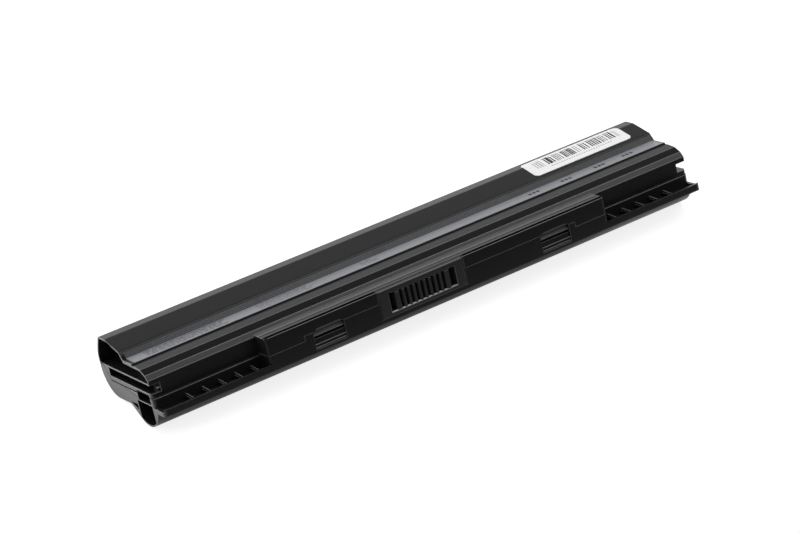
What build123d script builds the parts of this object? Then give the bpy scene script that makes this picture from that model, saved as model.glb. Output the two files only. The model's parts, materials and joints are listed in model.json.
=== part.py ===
"""Laptop battery pack: six round cells in a two-part moulded case, millimetres.

The pack lies on its two round lobes with +Z up, its front (the connector side) towards -Y and its
length along X. The moulding has a frame of its own, in which its faces are square: x runs along the
pack from its left end, u runs to the front and v runs up. That frame leans back by the angle at
which the belly and the front lobe touch the table together.
"""

import os
from math import asin, atan2, cos, degrees, hypot, radians, sin, sqrt, tan

from build123d import *

# Case, along x
pack_length = 262.0
wall = 1.5
rim = 0.6
touch_gap = 0.15
parting_gap = 0.15
overshoot = 1.0

# Cells and the strips between them
cell_radius = 9.15
cell_length = 65.0
button_height = 0.8
button_radius = 3.9
strip_thickness = 0.3
strip_width = 7.0
crimp_offset, crimp_width, crimp_depth = 3.0, 1.0, 0.4
ring_radius, ring_bore, ring_thickness = 8.6, 4.2, 0.25
ring_sides, bore_sides = 24, 16
cells_in_row = 3
front_cell_u = 10.8
rib_offset, rib_thickness = 20.0, 1.2

# Back lobe, belly under it, and front lobe: circles of the section
back_u, back_v, back_radius = -12.0, 4.5, 10.8
belly_u, belly_v, belly_radius = -11.3, 1.8, 11.4
front_u, front_v, front_radius = 11.8, -5.5, 10.8
base_corner_u, base_round = -1.2, 2.0

# Top of the section: flat top of the back lobe, slope in front of it, label field, ridge and brow
back_face_angle = 150.0
top_v, crest_u = 15.4, -12.4
back_corner_round, crest_round = 1.0, 3.0
hump_corner_u, hump_corner_v = -1.2, 12.5
hump_round = 1.2
valley_u, valley_v = 1.3, 9.5
strip_front_u = 8.8
groove_depth, groove_width, groove_bevel = 0.6, 1.6, 0.25
ridge_back_v = 9.1
ridge_u, ridge_v = 15.6, 8.6
brow_u, brow_v = 19.1, 6.9
cover_wall_u, cover_wall_v = 20.8, 5.0

# Parting line between cover and case
seam_v = -2.6
seam_back_v = 3.3
seam_inner_u = -19.8
seam_knee_u, seam_knee_v = -18.0, 1.5
seam_foot_u = -15.1
seam_groove = 0.25

# Front wall, trough and rail of the case
case_wall_u = 21.2
rail_u = 29.4
rail_top_v, rail_bottom_v = -5.4, -8.7
rail_thickness, rail_round = 1.2, 0.8
trough_floor_v = -7.6
trough_rib_v = -6.2
trough_rib_pitch, trough_rib_first, trough_rib_count = 7.35, 13.5, 5
trough_rib_thickness = 0.9
trough_rib_sink = 0.1
trough_end_thickness = 1.3
trough_end_v = -6.5
wall_end_round, rail_end_round = 2.0, 2.6

# Front block with the connector
block_left, block_right = 48.0, 213.5
block_top_v = 5.6
block_root_u = 19.0
block_corner = 1.8
block_edge = 0.4
block_seam_low, block_seam_high = -1.8, 0.4
block_seam_left, block_seam_right = 65.0, 197.0
top_groove_back_u, top_groove_front_u = 24.7, 27.4
top_groove_width, top_groove_depth = 0.5, 0.3

# Latch recesses
latch_left_x, latch_right_x = 69.0, 179.5
latch_width = 14.4
latch_bottom_v = -6.9
latch_depth = 3.2
latch_ramp_v = -1.5
latch_ramp_u = 28.6
latch_lip, latch_slot_height, latch_slot_depth = 0.3, 1.0, 1.6
latch_pad_u = 28.7
latch_rib_out, latch_rib_height, latch_rib_slope = 0.4, 0.5, 0.1
latch_rib_tops = (-4.8, -6.2)
arch_depth, arch_height, arch_slope = 1.0, 0.9, 2.0

# Connector
plug_x = 121.0
flange_width = 41.2
flange_bottom_v, flange_top_v = -6.3, 5.4
flange_u = 29.9
flange_thickness, flange_corner, flange_round = 1.7, 0.6, 1.2
plug_width = 37.0
plug_bottom_v, plug_top_v = -5.6, 3.9
slot_pitch = 2.55
slot_count = 9
fin_thickness = 1.4
fin_nose_u = 29.7
fin_round = 0.45
end_slot_width = 2.8
slot_bottom_v, slot_top_v = -4.5, 3.4
slot_floor_u = 25.3
lip_bevel = 0.5
end_fin_thickness = 2.4
fin_root, fin_top_gap = 0.6, 0.5
leaf_thickness, leaf_gap = 0.25, 0.4
leaf_nose_u, leaf_bottom_v, leaf_top_v = 27.2, -3.4, 2.6
tail_size, tail_v = 0.6, -1.0

# Circuit board, standing behind the connector
board_left, board_right = 56.0, 206.0
board_u = 22.5
board_thickness = 1.2
board_bottom_v, board_top_v = -6.6, 3.4
sheet_thickness = 0.4
sheet_inset = 2.0
saddle_inset, saddle_width, saddle_wall, saddle_height = 6.0, 3.0, 0.8, 2.0

# Bodies on the board: distances from its left end, height over its lower edge, width, height, thickness
board_bodies = {
    "board_fuse": ((8.0,), 5.6, 4.6, 3.0, 1.2),
    "power_switches": ((33.0, 40.0), 5.1, 5.0, 4.0, 1.5),
    "thermistor": ((87.0,), 5.7, 2.0, 1.25, 0.8),
    "charge_gauge_chip": ((97.0,), 5.2, 9.7, 6.1, 1.1),
    "protection_chip": ((108.0,), 5.3, 5.0, 4.4, 1.1),
    "sense_resistor": ((117.0,), 5.2, 6.4, 3.2, 0.7),
    "board_capacitors": ((17.0, 21.0, 25.0, 124.0, 128.0, 132.0), 6.2, 2.0, 1.25, 1.0),
}

# Strips that lead from the cells to the board, over the front lobe
ear_back_u, ear_front_u = 9.8, 13.8
lead_v = 4.6
lead_bend_u, lead_drop_u = 16.5, 19.0
lead_width = 4.3

# Foam between the back cells and the cover
foam_half_length, foam_gap = 18.0, 0.3
foam_back_u, foam_front_u = -17.5, -6.5

# Label and sticker
film = 0.12
label_left, label_right = 1.7, 261.15
label_edge, label_margin = 0.7, 0.15
sticker_left, sticker_right = 203.2, 254.1
sticker_back_u, sticker_front_u = -15.6, -2.8
sticker_corner = 2.2

# Open ends: the round hollow, the shelf beside it, the slot, the pocket and the lower hollows
end_rib_top_v = 3.6
shelf_wall_u = -4.8
end_slot_back_u, end_slot_front_u = -15.2, 14.0
end_slot_bottom_v, end_slot_top_v = -0.7, 2.9
pocket_back_u, pocket_front_u = 7.4, 18.2
pocket_top_v, pocket_bottom_v = -1.6, -5.8
lobe_hollow_top_v, lobe_hollow_back_u, lobe_hollow_front_u = -6.3, 5.6, 18.5
web_back_u, web_front_u, web_top_v, web_bottom_v = -1.1, 4.9, -8.4, -11.1
shelf_end = 8.0
slot_end = 12.0
pocket_end = 10.0
notch_end = 4.6

# Worked out from the above
centre_distance = hypot(front_u - belly_u, belly_v - front_v)
centre_angle = atan2(belly_v - front_v, front_u - belly_u)
lean = degrees(centre_angle - asin((belly_radius - front_radius) / centre_distance))
lean_sin, lean_cos = sin(radians(lean)), cos(radians(lean))
seat_z = belly_radius - (belly_u * lean_sin + belly_v * lean_cos)
rail_reach = (rail_u - rail_round) * lean_cos - (rail_bottom_v + rail_round) * lean_sin + rail_round
front_reach = max(rail_reach, flange_u * lean_cos - flange_bottom_v * lean_sin)
back_reach = back_v * lean_sin - back_u * lean_cos + back_radius
seat_y = (front_reach - back_reach) / 2

hump_slope = degrees(atan2(top_v - hump_corner_v, hump_corner_u - crest_u))
back_face_slant = tan(radians(180 - back_face_angle))
back_face_u = back_u + back_radius * cos(radians(back_face_angle))
back_face_v = back_v + back_radius * sin(radians(back_face_angle))
back_corner_u = back_face_u + (top_v - back_face_v) * back_face_slant
base_v = belly_v - belly_radius
base_reach = hypot(front_u - base_corner_u, front_v - base_v)
base_angle = atan2(front_v - base_v, front_u - base_corner_u) - asin(front_radius / base_reach)
touch_angle = degrees(base_angle) - 90
seam_back_u = back_u - sqrt(back_radius**2 - (back_v - seam_back_v) ** 2)
seam_case_v = seam_back_v - parting_gap
seam_belly_u = belly_u - sqrt(belly_radius**2 - (seam_case_v - belly_v) ** 2)
rail_root_u = front_u + sqrt(front_radius**2 - (front_v - rail_bottom_v) ** 2)

row_length = cells_in_row * (cell_length + strip_thickness) + strip_thickness
row_left = (pack_length - row_length) / 2
bay_left = row_left - touch_gap
bay_right = pack_length - bay_left
round_end = bay_left - wall
back_cell = ((back_u + belly_u) / 2, (back_v + belly_v) / 2)
front_cell = (front_cell_u, front_v)
cell_step = cell_length + strip_thickness
cell_lefts = [row_left + strip_thickness + i * cell_step for i in range(cells_in_row)]
cell_middles = [left + cell_length / 2 for left in cell_lefts]
strip_lefts = [row_left + i * cell_step for i in range(cells_in_row + 1)]
board_front_u = board_u + board_thickness
flange_back_u = flange_u - flange_thickness - touch_gap
saddle_middles = (
    board_left + saddle_inset,
    plug_x - plug_width / 2 - saddle_inset,
    plug_x + plug_width / 2 + saddle_inset,
    board_right - saddle_inset,
)
inner_back_radius = back_radius - wall
inner_belly_radius = belly_radius - wall
inner_front_radius = front_radius - wall
ceiling_v = valley_v - wall


def point(x, u, v):
    """A point of the moulding's frame as it lies on the table."""
    return Vector(
        x - pack_length / 2,
        seat_y - u * lean_cos + v * lean_sin,
        seat_z + u * lean_sin + v * lean_cos,
    )


def station(x):
    """Section plane at x. Its local axes are u and v, and an extrusion from it runs to the left."""
    return Plane(origin=point(x, 0, 0), x_dir=(0, -lean_cos, lean_sin), z_dir=(-1, 0, 0))


def facing_front(u):
    """Plane at u, seen from the front. Its local axes are x and v."""
    return Plane(origin=point(0, u, 0), x_dir=(1, 0, 0), z_dir=(0, -lean_cos, lean_sin))


def facing_up(v):
    """Plane at v, seen from above. Its local axes are x and minus u."""
    return Plane(origin=point(0, 0, v), x_dir=(1, 0, 0), z_dir=(0, lean_sin, lean_cos))


def on_circle(centre_u, centre_v, radius, angle):
    """The point of a circle at an angle in degrees."""
    return (centre_u + radius * cos(radians(angle)), centre_v + radius * sin(radians(angle)))


def block(left, right, back, front, bottom, top, mode=Mode.ADD):
    """A plain block of the moulding's frame, added to the part being built or cut from it."""
    with BuildSketch(station(right)) as section:
        Polygon((back, bottom), (front, bottom), (front, top), (back, top))
    extrude(section.sketch, amount=right - left, mode=mode)


def round_corner(sketch, corner, radius):
    """Rounds the corner of a sketch that lies nearest to a point."""
    fillet(sketch.vertices().sort_by_distance(Vector(*corner))[0], radius)


def round_end_corners(front, radius, bottom, top):
    """Rounds the upright edges at both ends of a wall whose front face lies at front."""
    reach = radius + overshoot
    for end, side in ((0, 1), (pack_length, -1)):
        centre_x, centre_y = end + side * radius, radius - front
        with BuildSketch(facing_up(bottom)) as corner:
            with Locations((centre_x - side * reach / 2, centre_y - reach / 2)):
                Rectangle(reach, reach)
            with Locations((centre_x, centre_y)):
                Circle(radius, mode=Mode.SUBTRACT)
        extrude(corner.sketch, amount=top - bottom, mode=Mode.SUBTRACT)


def slope_height(u, depth=0.0):
    """Height of the slope in front of the flat top at u, or of the line that lies a depth under it."""
    return hump_corner_v + (hump_corner_u - u) * tan(radians(hump_slope)) - depth / cos(radians(hump_slope))


def seam_line(drop=0.0):
    """The parting line in the section, from the front wall to the back, or the line a drop below it."""
    corners = (
        (cover_wall_u, seam_v),
        (seam_foot_u, seam_v),
        (seam_knee_u, seam_knee_v),
        (seam_inner_u, seam_back_v),
    )
    return [(u - drop / 2, v - drop) for u, v in corners]


def draw_cover_outline():
    """Section of the upper cover's outside, closed along the parting line."""
    start = degrees(asin((back_v - seam_back_v) / back_radius)) + 180
    with BuildLine() as outline:
        CenterArc((back_u, back_v), back_radius, start, back_face_angle - start)
        Polyline(
            (back_face_u, back_face_v),
            (back_corner_u, top_v),
            (crest_u, top_v),
            (hump_corner_u, hump_corner_v),
            (valley_u, valley_v),
            (strip_front_u, valley_v),
            (strip_front_u + groove_bevel, valley_v - groove_depth),
            (strip_front_u + groove_width, valley_v - groove_depth),
            (strip_front_u + groove_width + groove_bevel, ridge_back_v),
            (ridge_u, ridge_v),
            (brow_u, brow_v),
            (cover_wall_u, cover_wall_v),
            *seam_line(),
            (seam_back_u, seam_back_v),
        )
    make_face(outline.edges())


def draw_case_outline():
    """Section of the lower case's outside with its trough and rail, closed along the parting line."""
    start = 180 - degrees(asin((seam_case_v - belly_v) / belly_radius))
    rail_angle = degrees(asin((rail_bottom_v - front_v) / front_radius))
    with BuildLine() as outline:
        CenterArc((belly_u, belly_v), belly_radius, start, 270 - start)
        Polyline(
            (belly_u, base_v),
            (base_corner_u, base_v),
            on_circle(front_u, front_v, front_radius, touch_angle),
        )
        CenterArc((front_u, front_v), front_radius, touch_angle, rail_angle - touch_angle)
        Polyline(
            (rail_root_u, rail_bottom_v),
            (rail_u, rail_bottom_v),
            (rail_u, rail_top_v),
            (rail_u - rail_thickness, rail_top_v),
            (rail_u - rail_thickness, trough_floor_v),
            (case_wall_u, trough_floor_v),
            (case_wall_u, seam_v - seam_groove),
            *seam_line(parting_gap),
            (seam_belly_u, seam_case_v),
        )
    make_face(outline.edges())


def draw_bay():
    """Section of the room for the cells: the lobes' inner circles joined under the label field."""
    with Locations((back_u, back_v)):
        Circle(inner_back_radius)
    with Locations((belly_u, belly_v)):
        Circle(inner_belly_radius)
    with Locations(front_cell):
        Circle(inner_front_radius)
    Polygon(
        (back_u, back_v),
        on_circle(back_u, back_v, inner_back_radius, 90 - hump_slope),
        (hump_corner_u - wall / 2, hump_corner_v - wall),
        (valley_u - wall / 2, ceiling_v),
        (ridge_u - wall / 2, ridge_v - wall),
        (brow_u - wall / 2, brow_v - wall),
        (cover_wall_u - wall, cover_wall_v - wall),
        (cover_wall_u - wall, front_v),
        front_cell,
        on_circle(*front_cell, inner_front_radius, touch_angle),
        (base_corner_u - wall / 2, base_v + wall),
        (belly_u, base_v + wall),
    )


def hollow_ends(depth, *corners):
    """Cuts a section polygon into both ends of the part being built."""
    for x in (depth, pack_length):
        with BuildSketch(station(x)) as hollow:
            Polygon(*corners)
        extrude(hollow.sketch, amount=depth, mode=Mode.SUBTRACT)


def cut_bay():
    """Cuts the room for the cells and, in front of it, the room for the circuit board."""
    with BuildSketch(station(bay_right)) as bay:
        draw_bay()
    extrude(bay.sketch, amount=bay_right - bay_left, mode=Mode.SUBTRACT)
    block(
        block_left + wall,
        block_right - wall,
        block_root_u - wall,
        rail_u - wall,
        rail_bottom_v + wall,
        block_top_v - wall,
        Mode.SUBTRACT,
    )


def plug_seat(bottom, top):
    """Thickens the front wall behind the connector's flange between two heights."""
    half_seat = flange_width / 2 + wall
    block(plug_x - half_seat, plug_x + half_seat, flange_back_u - wall, rail_u - wall / 2, bottom, top)


def cut_plug_window():
    """Cuts the opening for the connector through the block's front wall."""
    half_flange, half_plug = flange_width / 2 + touch_gap, plug_width / 2 + touch_gap
    block(
        plug_x - half_flange,
        plug_x + half_flange,
        flange_back_u,
        rail_u + overshoot,
        flange_bottom_v - touch_gap,
        block_top_v + overshoot,
        Mode.SUBTRACT,
    )
    block(
        plug_x - half_plug,
        plug_x + half_plug,
        flange_back_u - wall - overshoot,
        rail_u,
        plug_bottom_v - touch_gap,
        plug_top_v + touch_gap,
        Mode.SUBTRACT,
    )


def cradle_stations():
    """Left faces of the ribs that hold the cells, two to each cell."""
    return [middle + side * rib_offset - rib_thickness / 2 for middle in cell_middles for side in (-1, 1)]


def front_block(bottom, top):
    """Adds the front block between two heights, rounded at its two front corners."""
    with BuildSketch(facing_up(bottom)) as plan:
        with Locations(((block_left + block_right) / 2, -(block_root_u + rail_u) / 2)):
            Rectangle(block_right - block_left, rail_u - block_root_u)
        for x in (block_left, block_right):
            round_corner(plan, (x, -rail_u), block_corner)
    extrude(plan.sketch, amount=top - bottom)


os.makedirs("parts", exist_ok=True)

# Upper cover
with BuildPart() as upper_cover:
    with BuildSketch(station(pack_length)) as cover_section:
        draw_cover_outline()
        round_corner(cover_section, (back_corner_u, top_v), back_corner_round)
        round_corner(cover_section, (crest_u, top_v), crest_round)
        round_corner(cover_section, (hump_corner_u, hump_corner_v), hump_round)
    extrude(amount=pack_length)
    front_block(block_seam_low, block_top_v)
    fillet(
        upper_cover.edges().filter_by(Axis.X).sort_by_distance(point(plug_x, rail_u, block_top_v))[0],
        block_edge,
    )
    block(
        block_seam_left,
        block_seam_right,
        cover_wall_u,
        rail_u + overshoot,
        block_seam_low,
        block_seam_high,
        Mode.SUBTRACT,
    )
    for groove_u in (top_groove_back_u, top_groove_front_u):
        block(
            block_left,
            block_right,
            groove_u - top_groove_width / 2,
            groove_u + top_groove_width / 2,
            block_top_v - top_groove_depth,
            block_top_v + overshoot,
            Mode.SUBTRACT,
        )
    cut_bay()
    for x in cradle_stations():
        with BuildSketch(station(x + rib_thickness)) as cover_rib:
            draw_bay()
            Polygon(
                (seam_inner_u, seam_back_v + touch_gap),
                (back_cell[0], seam_back_v + touch_gap),
                (back_cell[0], seam_v + touch_gap),
                (valley_u, seam_v + touch_gap),
                (valley_u, top_v),
                (seam_inner_u, top_v),
                mode=Mode.INTERSECT,
            )
            with Locations(back_cell, front_cell):
                Circle(cell_radius + touch_gap, mode=Mode.SUBTRACT)
        extrude(amount=rib_thickness)
    plug_seat(block_seam_high, block_top_v - wall / 2)
    cut_plug_window()
    for x in (latch_left_x, latch_right_x):
        with BuildSketch(facing_front(rail_u - arch_depth)):
            Polygon(
                (x, block_seam_high - overshoot),
                (x + latch_width, block_seam_high - overshoot),
                (x + latch_width, block_seam_high),
                (x + latch_width - arch_slope, block_seam_high + arch_height),
                (x + arch_slope, block_seam_high + arch_height),
                (x, block_seam_high),
            )
        extrude(amount=arch_depth + overshoot, mode=Mode.SUBTRACT)
    for x in (round_end, pack_length):
        with BuildSketch(station(x)):
            with Locations((back_u, back_v)):
                Circle(back_radius - rim)
            Polygon(
                (back_u, back_v),
                on_circle(back_u, back_v, back_radius - rim, back_face_angle),
                (back_corner_u + rim * back_face_slant, top_v - rim),
                (crest_u, top_v - rim),
                (shelf_wall_u, slope_height(shelf_wall_u, rim)),
                (shelf_wall_u, back_v),
            )
            Polygon(
                (seam_belly_u, end_rib_top_v),
                (shelf_wall_u, end_rib_top_v),
                (shelf_wall_u, top_v),
                (seam_belly_u, top_v),
                mode=Mode.INTERSECT,
            )
        extrude(amount=round_end, mode=Mode.SUBTRACT)
    hollow_ends(
        shelf_end,
        (shelf_wall_u, end_rib_top_v),
        (shelf_wall_u, slope_height(shelf_wall_u, rim)),
        (hump_corner_u - rim / 2, hump_corner_v - rim),
        (valley_u - rim / 2, valley_v - groove_depth - rim),
        (ridge_u - rim / 2, ridge_v - rim),
        (brow_u - rim / 2, brow_v - rim),
        (cover_wall_u - rim, cover_wall_v - rim / 2),
        (cover_wall_u - rim, end_rib_top_v),
    )
    hollow_ends(
        slot_end,
        (end_slot_back_u, end_slot_bottom_v),
        (end_slot_front_u, end_slot_bottom_v),
        (end_slot_front_u, end_slot_top_v),
        (end_slot_back_u, end_slot_top_v),
    )
    hollow_ends(
        notch_end,
        (end_slot_front_u, end_slot_bottom_v),
        (cover_wall_u + overshoot, end_slot_bottom_v),
        (cover_wall_u + overshoot, end_slot_top_v),
        (end_slot_front_u, end_slot_top_v),
    )
    round_end_corners(cover_wall_u, wall_end_round, seam_v - overshoot, end_slot_bottom_v)
    hollow_ends(
        pocket_end,
        (pocket_back_u, seam_v - overshoot),
        (pocket_front_u, seam_v - overshoot),
        (pocket_front_u, pocket_top_v),
        (pocket_back_u, pocket_top_v),
    )
upper_cover.part.label = "upper_cover"
export_step(upper_cover.part, "parts/upper_cover.step")


def latch_profile():
    """Section of the room that a latch recess takes out of the block: ramp, slot and ribbed pad."""
    slot_top = latch_ramp_v - latch_lip
    slot_bottom = slot_top - latch_slot_height
    corners = [
        (rail_u + overshoot, block_seam_high + overshoot),
        (rail_u - latch_depth, block_seam_high + overshoot),
        (rail_u - latch_depth, block_seam_high),
        (latch_ramp_u, latch_ramp_v),
        (latch_ramp_u, slot_top),
        (latch_ramp_u - latch_slot_depth, slot_top),
        (latch_ramp_u - latch_slot_depth, slot_bottom),
        (latch_pad_u, slot_bottom),
    ]
    for rib_v in latch_rib_tops:
        corners += [
            (latch_pad_u, rib_v),
            (latch_pad_u + latch_rib_out, rib_v - latch_rib_slope),
            (latch_pad_u + latch_rib_out, rib_v - latch_rib_height),
            (latch_pad_u, rib_v - latch_rib_height),
        ]
    return corners + [(latch_pad_u, latch_bottom_v), (rail_u + overshoot, latch_bottom_v)]


# Lower case
with BuildPart() as lower_case:
    with BuildSketch(station(pack_length)) as case_section:
        draw_case_outline()
        round_corner(case_section, (base_corner_u, base_v), base_round)
        round_corner(case_section, (rail_u, rail_bottom_v), rail_round)
    extrude(amount=pack_length)
    front_block(trough_floor_v, block_seam_low)
    block(block_seam_left, block_seam_right, cover_wall_u, rail_u, block_seam_low, block_seam_high)
    block(
        block_left,
        block_right,
        block_root_u - overshoot,
        cover_wall_u,
        seam_v,
        block_seam_high + overshoot,
        Mode.SUBTRACT,
    )
    trough_back, trough_front = case_wall_u - wall / 2, rail_u - rail_thickness / 2
    trough_rib_foot = trough_floor_v - trough_rib_sink
    rib_lefts = [trough_rib_first + i * trough_rib_pitch for i in range(trough_rib_count)]
    for x in rib_lefts + [pack_length - left - trough_rib_thickness for left in rib_lefts]:
        block(x, x + trough_rib_thickness, trough_back, trough_front, trough_rib_foot, trough_rib_v)
    round_end_corners(case_wall_u, wall_end_round, trough_floor_v, seam_v + overshoot)
    for x in (0, pack_length - trough_end_thickness):
        block(
            x,
            x + trough_end_thickness,
            trough_back - wall_end_round,
            trough_front,
            trough_rib_foot,
            trough_end_v,
        )
    round_end_corners(rail_u, rail_end_round, rail_bottom_v - overshoot, rail_top_v + overshoot)
    cut_bay()
    for x in (latch_left_x, latch_right_x):
        block(
            x - rib_thickness,
            x + latch_width + rib_thickness,
            rail_u - latch_depth - rib_thickness,
            rail_u - wall / 2,
            rail_bottom_v + wall / 2,
            block_seam_high,
        )
        with BuildSketch(station(x + latch_width)):
            Polygon(*latch_profile())
        extrude(amount=latch_width, mode=Mode.SUBTRACT)
    for x in cradle_stations():
        with BuildSketch(station(x + rib_thickness)):
            draw_bay()
            Polygon(
                (seam_back_u, base_v),
                (case_wall_u, base_v - front_radius),
                (case_wall_u, seam_v - touch_gap),
                (seam_back_u, seam_v - touch_gap),
                mode=Mode.INTERSECT,
            )
            with Locations(back_cell, front_cell):
                Circle(cell_radius + touch_gap, mode=Mode.SUBTRACT)
        extrude(amount=rib_thickness)
    for x in saddle_middles:
        block(
            x - saddle_width / 2,
            x + saddle_width / 2,
            board_u - sheet_thickness - saddle_wall,
            board_front_u + saddle_wall,
            rail_bottom_v + wall / 2,
            board_bottom_v + saddle_height,
        )
        block(
            x - saddle_width,
            x + saddle_width,
            board_u - sheet_thickness,
            board_front_u,
            board_bottom_v,
            board_bottom_v + saddle_height,
            Mode.SUBTRACT,
        )
    plug_seat(rail_bottom_v + wall / 2, block_seam_high)
    cut_plug_window()
    hollow_ends(
        pocket_end,
        (pocket_back_u, pocket_bottom_v),
        (pocket_front_u, pocket_bottom_v),
        (pocket_front_u, seam_v + overshoot),
        (pocket_back_u, seam_v + overshoot),
    )
    for x in (round_end, pack_length):
        with BuildSketch(station(x)):
            with Locations((front_u, front_v)):
                Circle(front_radius - rim)
            Polygon(
                (lobe_hollow_back_u, front_v - front_radius),
                (lobe_hollow_front_u, front_v - front_radius),
                (lobe_hollow_front_u, lobe_hollow_top_v),
                (lobe_hollow_back_u, lobe_hollow_top_v),
                mode=Mode.INTERSECT,
            )
        extrude(amount=round_end, mode=Mode.SUBTRACT)
    hollow_ends(
        pocket_end,
        (web_back_u, web_top_v),
        (web_front_u, web_top_v),
        (web_front_u, web_bottom_v),
    )
lower_case.part.label = "lower_case"
export_step(lower_case.part, "parts/lower_case.step")

# Connector housing: a comb of fins behind a flange
slot_xs = [plug_x + (i - (slot_count - 1) / 2) * slot_pitch for i in range(slot_count)]
fin_length = fin_nose_u - slot_floor_u + fin_root
end_fin_x = (slot_count * slot_pitch - fin_thickness + end_fin_thickness) / 2
comb_half = end_fin_x + end_fin_thickness / 2 + end_slot_width
fin_bottom_v = slot_bottom_v - lip_bevel
with BuildPart() as connector_housing:
    with BuildSketch(facing_front(flange_u - flange_thickness)):
        with Locations((plug_x, (flange_bottom_v + flange_top_v) / 2)):
            RectangleRounded(flange_width, flange_top_v - flange_bottom_v, flange_corner)
    extrude(amount=flange_thickness)
    with BuildSketch(facing_up(flange_bottom_v)) as flange_plan:
        with Locations((plug_x, flange_thickness / 2 - flange_u)):
            Rectangle(flange_width, flange_thickness)
        for side in (-1, 1):
            round_corner(flange_plan, (plug_x + side * flange_width / 2, -flange_u), flange_round)
    extrude(amount=flange_top_v - flange_bottom_v, mode=Mode.INTERSECT)
    block(
        plug_x - plug_width / 2,
        plug_x + plug_width / 2,
        board_front_u,
        flange_u - flange_thickness / 2,
        plug_bottom_v,
        plug_top_v,
    )
    block(
        plug_x - comb_half,
        plug_x + comb_half,
        slot_floor_u,
        flange_u + overshoot,
        slot_bottom_v,
        slot_top_v,
        Mode.SUBTRACT,
    )
    with BuildSketch(station(plug_x + comb_half)):
        Polygon(
            (flange_u - lip_bevel, slot_bottom_v),
            (flange_u, fin_bottom_v),
            (flange_u + lip_bevel, fin_bottom_v),
            (flange_u + lip_bevel, slot_bottom_v),
        )
    extrude(amount=2 * comb_half, mode=Mode.SUBTRACT)
    with BuildSketch(facing_up(fin_bottom_v)):
        with Locations((plug_x, fin_length / 2 - fin_nose_u)):
            with GridLocations(slot_pitch, 0, slot_count - 1, 1):
                RectangleRounded(fin_thickness, fin_length, fin_round)
            with GridLocations(2 * end_fin_x, 0, 2, 1):
                RectangleRounded(end_fin_thickness, fin_length, fin_round)
    extrude(amount=slot_top_v - fin_top_gap - fin_bottom_v)
    for x in slot_xs:
        hole = tail_size / 2 + touch_gap
        block(x - hole, x + hole, board_front_u, slot_floor_u, tail_v - hole, tail_v + hole, Mode.SUBTRACT)
connector_housing.part.label = "connector_housing"
export_step(connector_housing.part, "parts/connector_housing.step")

# Contact forks, one in each narrow slot, with a tail that stands on the circuit board
with BuildPart() as connector_contacts:
    for x in slot_xs:
        half = leaf_gap / 2 + leaf_thickness
        block(x - half, x + half, slot_floor_u, slot_floor_u + leaf_thickness, leaf_bottom_v, leaf_top_v)
        for leaf in (x - half, x + leaf_gap / 2):
            block(leaf, leaf + leaf_thickness, slot_floor_u, leaf_nose_u, leaf_bottom_v, leaf_top_v)
        block(
            x - tail_size / 2,
            x + tail_size / 2,
            board_front_u,
            slot_floor_u,
            tail_v - tail_size / 2,
            tail_v + tail_size / 2,
        )
connector_contacts.part.label = "connector_contacts"
export_step(connector_contacts.part, "parts/connector_contacts.step")

# Circuit board and the insulating sheet behind it
with BuildPart() as circuit_board:
    block(board_left, board_right, board_u, board_front_u, board_bottom_v, board_top_v)
circuit_board.part.label = "circuit_board"
export_step(circuit_board.part, "parts/circuit_board.step")

with BuildPart() as insulating_sheet:
    block(
        board_left + sheet_inset,
        board_right - sheet_inset,
        board_u - sheet_thickness,
        board_u,
        board_bottom_v,
        board_top_v - sheet_thickness,
    )
insulating_sheet.part.label = "insulating_sheet"
export_step(insulating_sheet.part, "parts/insulating_sheet.step")

# What is soldered to the board's front
for name, (middles, middle_height, width, height, thickness) in board_bodies.items():
    with BuildPart() as component:
        for middle in middles:
            left, bottom = board_left + middle - width / 2, board_bottom_v + middle_height - height / 2
            block(left, left + width, board_front_u, board_front_u + thickness, bottom, bottom + height)
    component.part.label = name
    export_step(component.part, f"parts/{name}.step")

# Cells, each with its insulating ring on the shoulder round the positive button
for row, (u, v) in (("back", back_cell), ("front", front_cell)):
    for place, left in zip(("left", "middle", "right"), cell_lefts):
        shoulder = cell_length - button_height
        crimp = shoulder - crimp_offset
        half_plane = Plane(origin=point(left, u, v), x_dir=(1, 0, 0), z_dir=(0, lean_sin, lean_cos))
        with BuildPart() as cell:
            with BuildSketch(half_plane):
                Polygon(
                    (0, 0),
                    (0, cell_radius),
                    (crimp - crimp_width, cell_radius),
                    (crimp - crimp_width / 2, cell_radius - crimp_depth),
                    (crimp, cell_radius),
                    (shoulder, cell_radius),
                    (shoulder, button_radius),
                    (cell_length, button_radius),
                    (cell_length, 0),
                )
            revolve(axis=Axis(point(left, u, v), (1, 0, 0)))
        cell.part.label = f"cell_{row}_{place}"
        export_step(cell.part, f"parts/cell_{row}_{place}.step")
        with BuildPart() as ring:
            with BuildSketch(station(left + shoulder + ring_thickness)):
                with Locations((u, v)):
                    RegularPolygon(ring_radius, ring_sides)
                    RegularPolygon(ring_bore, bore_sides, mode=Mode.SUBTRACT)
            extrude(amount=ring_thickness)
        ring.part.label = f"ring_{row}_{place}"
        export_step(ring.part, f"parts/ring_{row}_{place}.step")

# Nickel strips across the two rows, with an ear that reaches up to the lead
pair_angle = degrees(atan2(front_cell[1] - back_cell[1], front_cell[0] - back_cell[0]))
pair_distance = hypot(front_cell[0] - back_cell[0], front_cell[1] - back_cell[1])
pair_middle = ((back_cell[0] + front_cell[0]) / 2, (back_cell[1] + front_cell[1]) / 2)
for name, left in zip(("negative", "low_middle", "high_middle", "positive"), strip_lefts):
    with BuildPart() as strip:
        with BuildSketch(station(left + strip_thickness)):
            with Locations(pair_middle):
                Rectangle(pair_distance + strip_width, strip_width, rotation=pair_angle)
            Polygon(
                (ear_back_u, front_v),
                (ear_front_u, front_v),
                (ear_front_u, lead_v),
                (ear_back_u, lead_v),
            )
        extrude(amount=strip_thickness)
    strip.part.label = f"strip_{name}"
    export_step(strip.part, f"parts/strip_{name}.step")

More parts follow.
